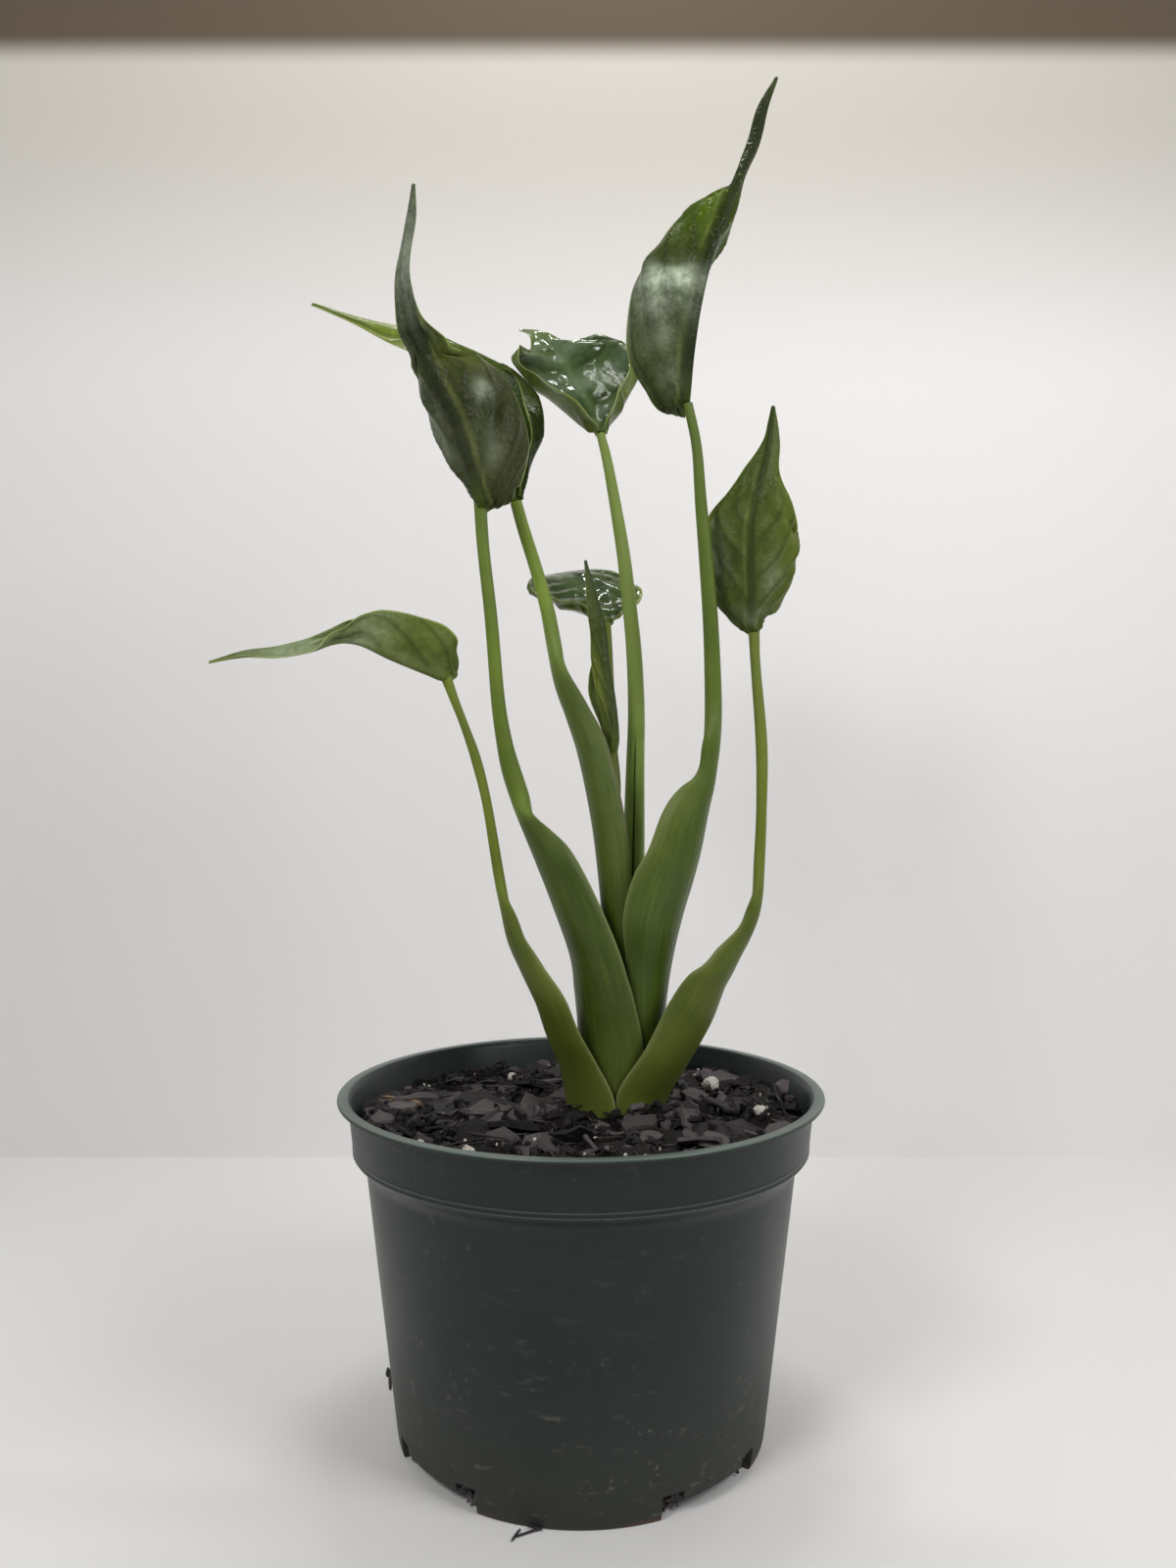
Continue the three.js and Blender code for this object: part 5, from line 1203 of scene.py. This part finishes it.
def bark_chips():
    """Flakes of bark strewn over the bed, then the ones that stand out in the photo."""
    rng = np.random.default_rng(31)
    kinds = [plate(seed) for seed in range(1, 10)]
    places, tints = [], []
    for x, y in zip(*inside_pot(rng, CHIP_COUNT, 74)):
        size = rng.uniform(8.0, 22.0) * (0.5 if rng.uniform() < 0.5 else 1)
        if not away_from_perlite(x, y, size / 2 + 0.6) or math.hypot(x, y) + size * 0.35 > 76:
            continue
        if math.hypot(x - 12.5, y + 2) < 21:
            size = min(size, 6.0)
        z = float(ground_height(x, y)) + rng.uniform(-2.6, 1.8)
        shape = (size, size * rng.uniform(0.45, 0.8), rng.uniform(0.8, 2.1))
        places.append(((x, y, z), shape, rng.uniform(0, 2 * np.pi), rng.normal(0, 0.62)))
        pale = rng.uniform() < 0.38
        tints.append(float(rng.uniform(0.45, 1.0) if pale else rng.uniform(0, 0.12)))
    for x, y, length, width, thick, turn, tilt, lift in NAMED_CHIPS:
        z = float(ground_height(x, y)) + lift
        places.append(((x, y, z), (length, width, thick), math.radians(turn), math.radians(tilt)))
        tints.append(0.6)
    return finished(scattered("bark_chips", kinds, places, tints), bark_material("bark"), "bark")


def mix_crumbs():
    """Crumbs of compost between the chips, with fibres lying among them."""
    rng = np.random.default_rng(37)
    kinds = [lump("crumb", 1, seed, 0.6) for seed in (11, 12, 13, 14)]
    places, tints = [], []
    for x, y in zip(*inside_pot(rng, CRUMB_COUNT, 75.5)):
        size = rng.uniform(0.8, 3.0)
        heap = math.sin(x / 6 + 1.7) * math.cos(y / 5 - 0.6) > 0.1
        lift = rng.uniform(-1.0, 1.8) if heap else rng.uniform(-2.6, -0.2)
        z = float(ground_height(x, y)) + lift
        shape = size * rng.uniform(0.6, 1.2, 3)
        places.append(((x, y, z), shape, rng.uniform(0, 2 * np.pi), rng.uniform(0, np.pi)))
        tints.append(float(rng.uniform(0, 0.16)))
    for x, y in zip(*inside_pot(rng, FIBRE_COUNT, 68)):
        z = float(ground_height(x, y)) + rng.uniform(0.2, 1.9)
        shape = (rng.uniform(5, 16), rng.uniform(0.35, 0.9), rng.uniform(0.3, 0.6))
        places.append(((x, y, z), shape, rng.uniform(0, 2 * np.pi), rng.normal(0, 0.3)))
        tints.append(float(rng.uniform(0.1, 0.9)))
    for x, y, z, length, turn in ((-64, 12, 106.8, 17, -30), (-63, 10, 106.2, 15, -24)):
        places.append(((x, y, z), (length, 1.1, 0.8), math.radians(turn), 0.2))
        tints.append(2.0)
    return finished(scattered("mix_crumbs", kinds, places, tints), bark_material("crumbs"), "mix")


def debris():
    """A stray root at the pot's foot, a flake on its wall and compost caught in the drains."""
    rng = np.random.default_rng(43)
    kinds = [lump("scrap", 1, seed, 0.5) for seed in (31, 32)]
    places = [((-15, -63.2, 0.5), (9, 0.7, 0.6), 0.5, 0.0),
              ((-18.5, -64.4, 0.6), (6, 0.6, 0.5), 1.2, 0.1),
              ((-13.5, -61.8, 1.0), (5, 0.6, 0.5), -0.4, 0.1),
              ((-64.2, -10, 18.5), (1.2, 2.4, 7.0), 0.15, 0.1),
              ((-65.0, -10.5, 21.0), (0.8, 1.6, 3.6), 0.5, 0.4)]
    tints = [0.35, 0.25, 0.3, 0.75, 0.2]
    for centre in GAP_CENTRES:
        for sign in (-1, 1):
            for _ in range(DRAIN_SCRAPS):
                angle = math.radians(centre + sign * DRAIN_TURN + rng.uniform(-3.0, 3.0))
                radius, z = rng.uniform(57, 60.6), rng.uniform(0.9, 4.6)
                size = rng.uniform(0.8, 2.0) * rng.uniform(0.5, 1.1, 3)
                places.append(((radius * math.sin(angle), -radius * math.cos(angle), z), size,
                               rng.uniform(0, 6), rng.uniform(0, 3)))
                tints.append(float(rng.uniform(0.2, 1.5)))
    return finished(scattered("debris", kinds, places, tints), bark_material("debris"), "mix")


def perlite():
    """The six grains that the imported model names, then small specks."""
    rng = np.random.default_rng(41)
    kinds = [lump("grain", 3, seed, 0.9) for seed in (21, 22, 23)]
    finish = perlite_material()
    for index, (x, y, r) in enumerate(PERLITE):
        z = float(ground_height(x, y)) + 0.8 * r + 0.4
        place = ((x, y, z), (2.1 * r, 1.9 * r, 1.8 * r), rng.uniform(0, 6), rng.uniform(0, 1))
        piece = scattered(f"perlite_grain_{index + 1}", kinds[index % 3:], [place], [0.5])
        smoothed(piece)
        finished(piece, finish, "perlite", f"perlite_{index + 1}")
    specks = [lump("speck", 1, 24, 0.9)]
    places = []
    for x, y in zip(*inside_pot(rng, SPECK_COUNT, 73)):
        z = float(ground_height(x, y)) + rng.uniform(0.6, 1.9)
        places.append(((x, y, z), rng.uniform(0.5, 1.3, 3), rng.uniform(0, 6), rng.uniform(0, 3)))
    finished(scattered("perlite_specks", specks, places, [0.5] * len(places)), finish, "perlite")


# Studio

STUDIO_LAMPS = (  # name, place, aim, size, watts, tint
    ("back_strip", (0.02, 0.15, 1.0), (0.01, 0.04, 0.0), (0.26, 0.035), 1.5, (1, 0.985, 0.95)),
    ("left_strip", (-0.27, -0.19, 1.0), (-0.1, -0.1, 0.0), (0.14, 0.02), 0.16, (1, 0.985, 0.95)),
    ("near_strip", (-0.22, -0.10, 1.0), (-0.1, -0.05, 0.0), (0.14, 0.02), 0.16, (1, 0.985, 0.95)),
    ("right_strip", (0.29, 0.08, 1.0), (0.1, 0.0, 0.0), (0.10, 0.02), 0.15, (1, 0.985, 0.95)),
    ("front_panel", (-0.40, -0.58, 0.72), (0.03, -0.03, 0.36), (0.28, 0.20), 3.15, (1, 0.99, 0.97)),
    ("side_panel", (0.48, -0.38, 0.60), (-0.02, 0, 0.3), (0.30, 0.30), 2.2, (1, 0.99, 0.98)),
)
WALL_Y = 0.289
BAND_FOOT = 0.645
CAMERA_PLACE = (0.00234, -0.4076, 0.2169)
CAMERA_RISE = 0.26
FOCAL_SHARE = 1203 / 1600
SENSOR = 36


def linked_to_scene(name, data, place, turn):
    holder = bpy.data.objects.new(name, data)
    bpy.context.scene.collection.objects.link(holder)
    holder.location, holder.rotation_euler = place, turn
    return holder


def card(name, size, place, turn):
    """A sheet of card that is part of the studio: its material, Tree, shader and position."""
    nothing_selected()
    bpy.ops.mesh.primitive_plane_add(size=size, location=place, rotation=turn)
    piece = renamed(name)
    bpy.ops.object.transform_apply(location=True, rotation=True, scale=True)
    made, t, shader, position = material(name, Roughness=0.6, Specular_IOR_Level=0.2)
    piece.data.materials.append(made)
    return made, t, shader, position


def studio():
    """A pale floor, a wall painted darker to the left and towards the top as shade, with a dark
    band above, seen from the front only, and soft lamps.
    """
    _, t, shader, position = card("floor_card", 6.0, (0, 0, 0), (0, 0, 0))
    paper = t.noise(position, 3.0, 2.0)
    linked(t, shader, Base_Color=t.mix(paper, (0.89, 0.885, 0.88), (0.93, 0.925, 0.92)))

    wall, t, shader, position = card("back_card", 3.0, (0, WALL_Y, 1.5), (math.radians(90), 0, 0))
    place = t.node("ShaderNodeSeparateXYZ", {0: position}).outputs
    # Painted shade: the wall darker to the left, and darker and warmer towards the top.
    tone = t.mix(t.range(place["X"], -0.3, 0.3), (0.88, 0.87, 0.875), (0.97, 0.96, 0.965))
    tone = t.mix(t.range(place["Z"], 0.44, 0.62), tone, (0.66, 0.635, 0.585))
    band = t.range(place["Z"], BAND_FOOT, BAND_FOOT + 0.02)
    linked(t, shader, Base_Color=t.mix(band, tone, (0.13, 0.10, 0.07)))
    clear = t.node("ShaderNodeBsdfTransparent").outputs[0]
    behind = t.node("ShaderNodeNewGeometry").outputs["Backfacing"]
    seen = t.node("ShaderNodeMixShader", {0: behind, 1: shader.outputs[0], 2: clear}).outputs[0]
    t.link(seen, wall.node_tree.nodes["Material Output"].inputs["Surface"])

    world = bpy.data.worlds.new("studio")
    bpy.context.scene.world = world
    world.use_nodes = True
    t = Tree(world.node_tree)
    towards = t.node("ShaderNodeTexCoord").outputs["Generated"]
    view = t.node("ShaderNodeSeparateXYZ", {0: towards}).outputs
    sides = t.plus(t.range(view["Y"], -0.95, 0.3, 0.225, 0.50),
                   t.range(view["X"], -1.0, 1.0, -0.03, 0.06))
    overhead = t.range(view["Z"], 0.25, 0.8, 0.0, -0.34)
    level = t.math("MAXIMUM", t.plus(sides, overhead), 0.04)
    pale = t.node("ShaderNodeLightPath").outputs["Is Camera Ray"]
    background = world.node_tree.nodes["Background"]
    background.inputs["Color"].default_value = (1.0, 0.99, 0.985, 1)
    t.link(t.math("MAXIMUM", level, t.times(pale, 0.70)), background.inputs["Strength"])

    for name, place, aim, size, power, tint in STUDIO_LAMPS:
        lamp = bpy.data.lights.new(name, "AREA")
        lamp.shape = "RECTANGLE"
        lamp.size, lamp.size_y = size
        lamp.energy = power
        lamp.color = tint
        turn = (Vector(aim) - Vector(place)).to_track_quat("-Z", "Y").to_euler()
        linked_to_scene(name, lamp, place, turn)


def camera():
    """The photo's own view, from the front and level with the middle of the whole plant."""
    lens = bpy.data.cameras.new("camera")
    lens.lens = FOCAL_SHARE * SENSOR
    lens.sensor_width = SENSOR
    lens.clip_start = 0.01
    turn = (math.radians(90 + CAMERA_RISE), 0, 0)
    bpy.context.scene.camera = linked_to_scene("camera", lens, CAMERA_PLACE, turn)


camera()
studio()
pot()
mulch_bed()
bark_chips()
mix_crumbs()
debris()
perlite()
for letter in "abcdefgh":
    stalk(letter)
    blade(letter)
for node, dressed in (("potting_mix", mix_material()), ("corm", corm_material())):
    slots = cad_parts[node].data.materials
    slots.clear()
    slots.append(dressed)
bpy.context.scene.view_settings.view_transform = "Standard"
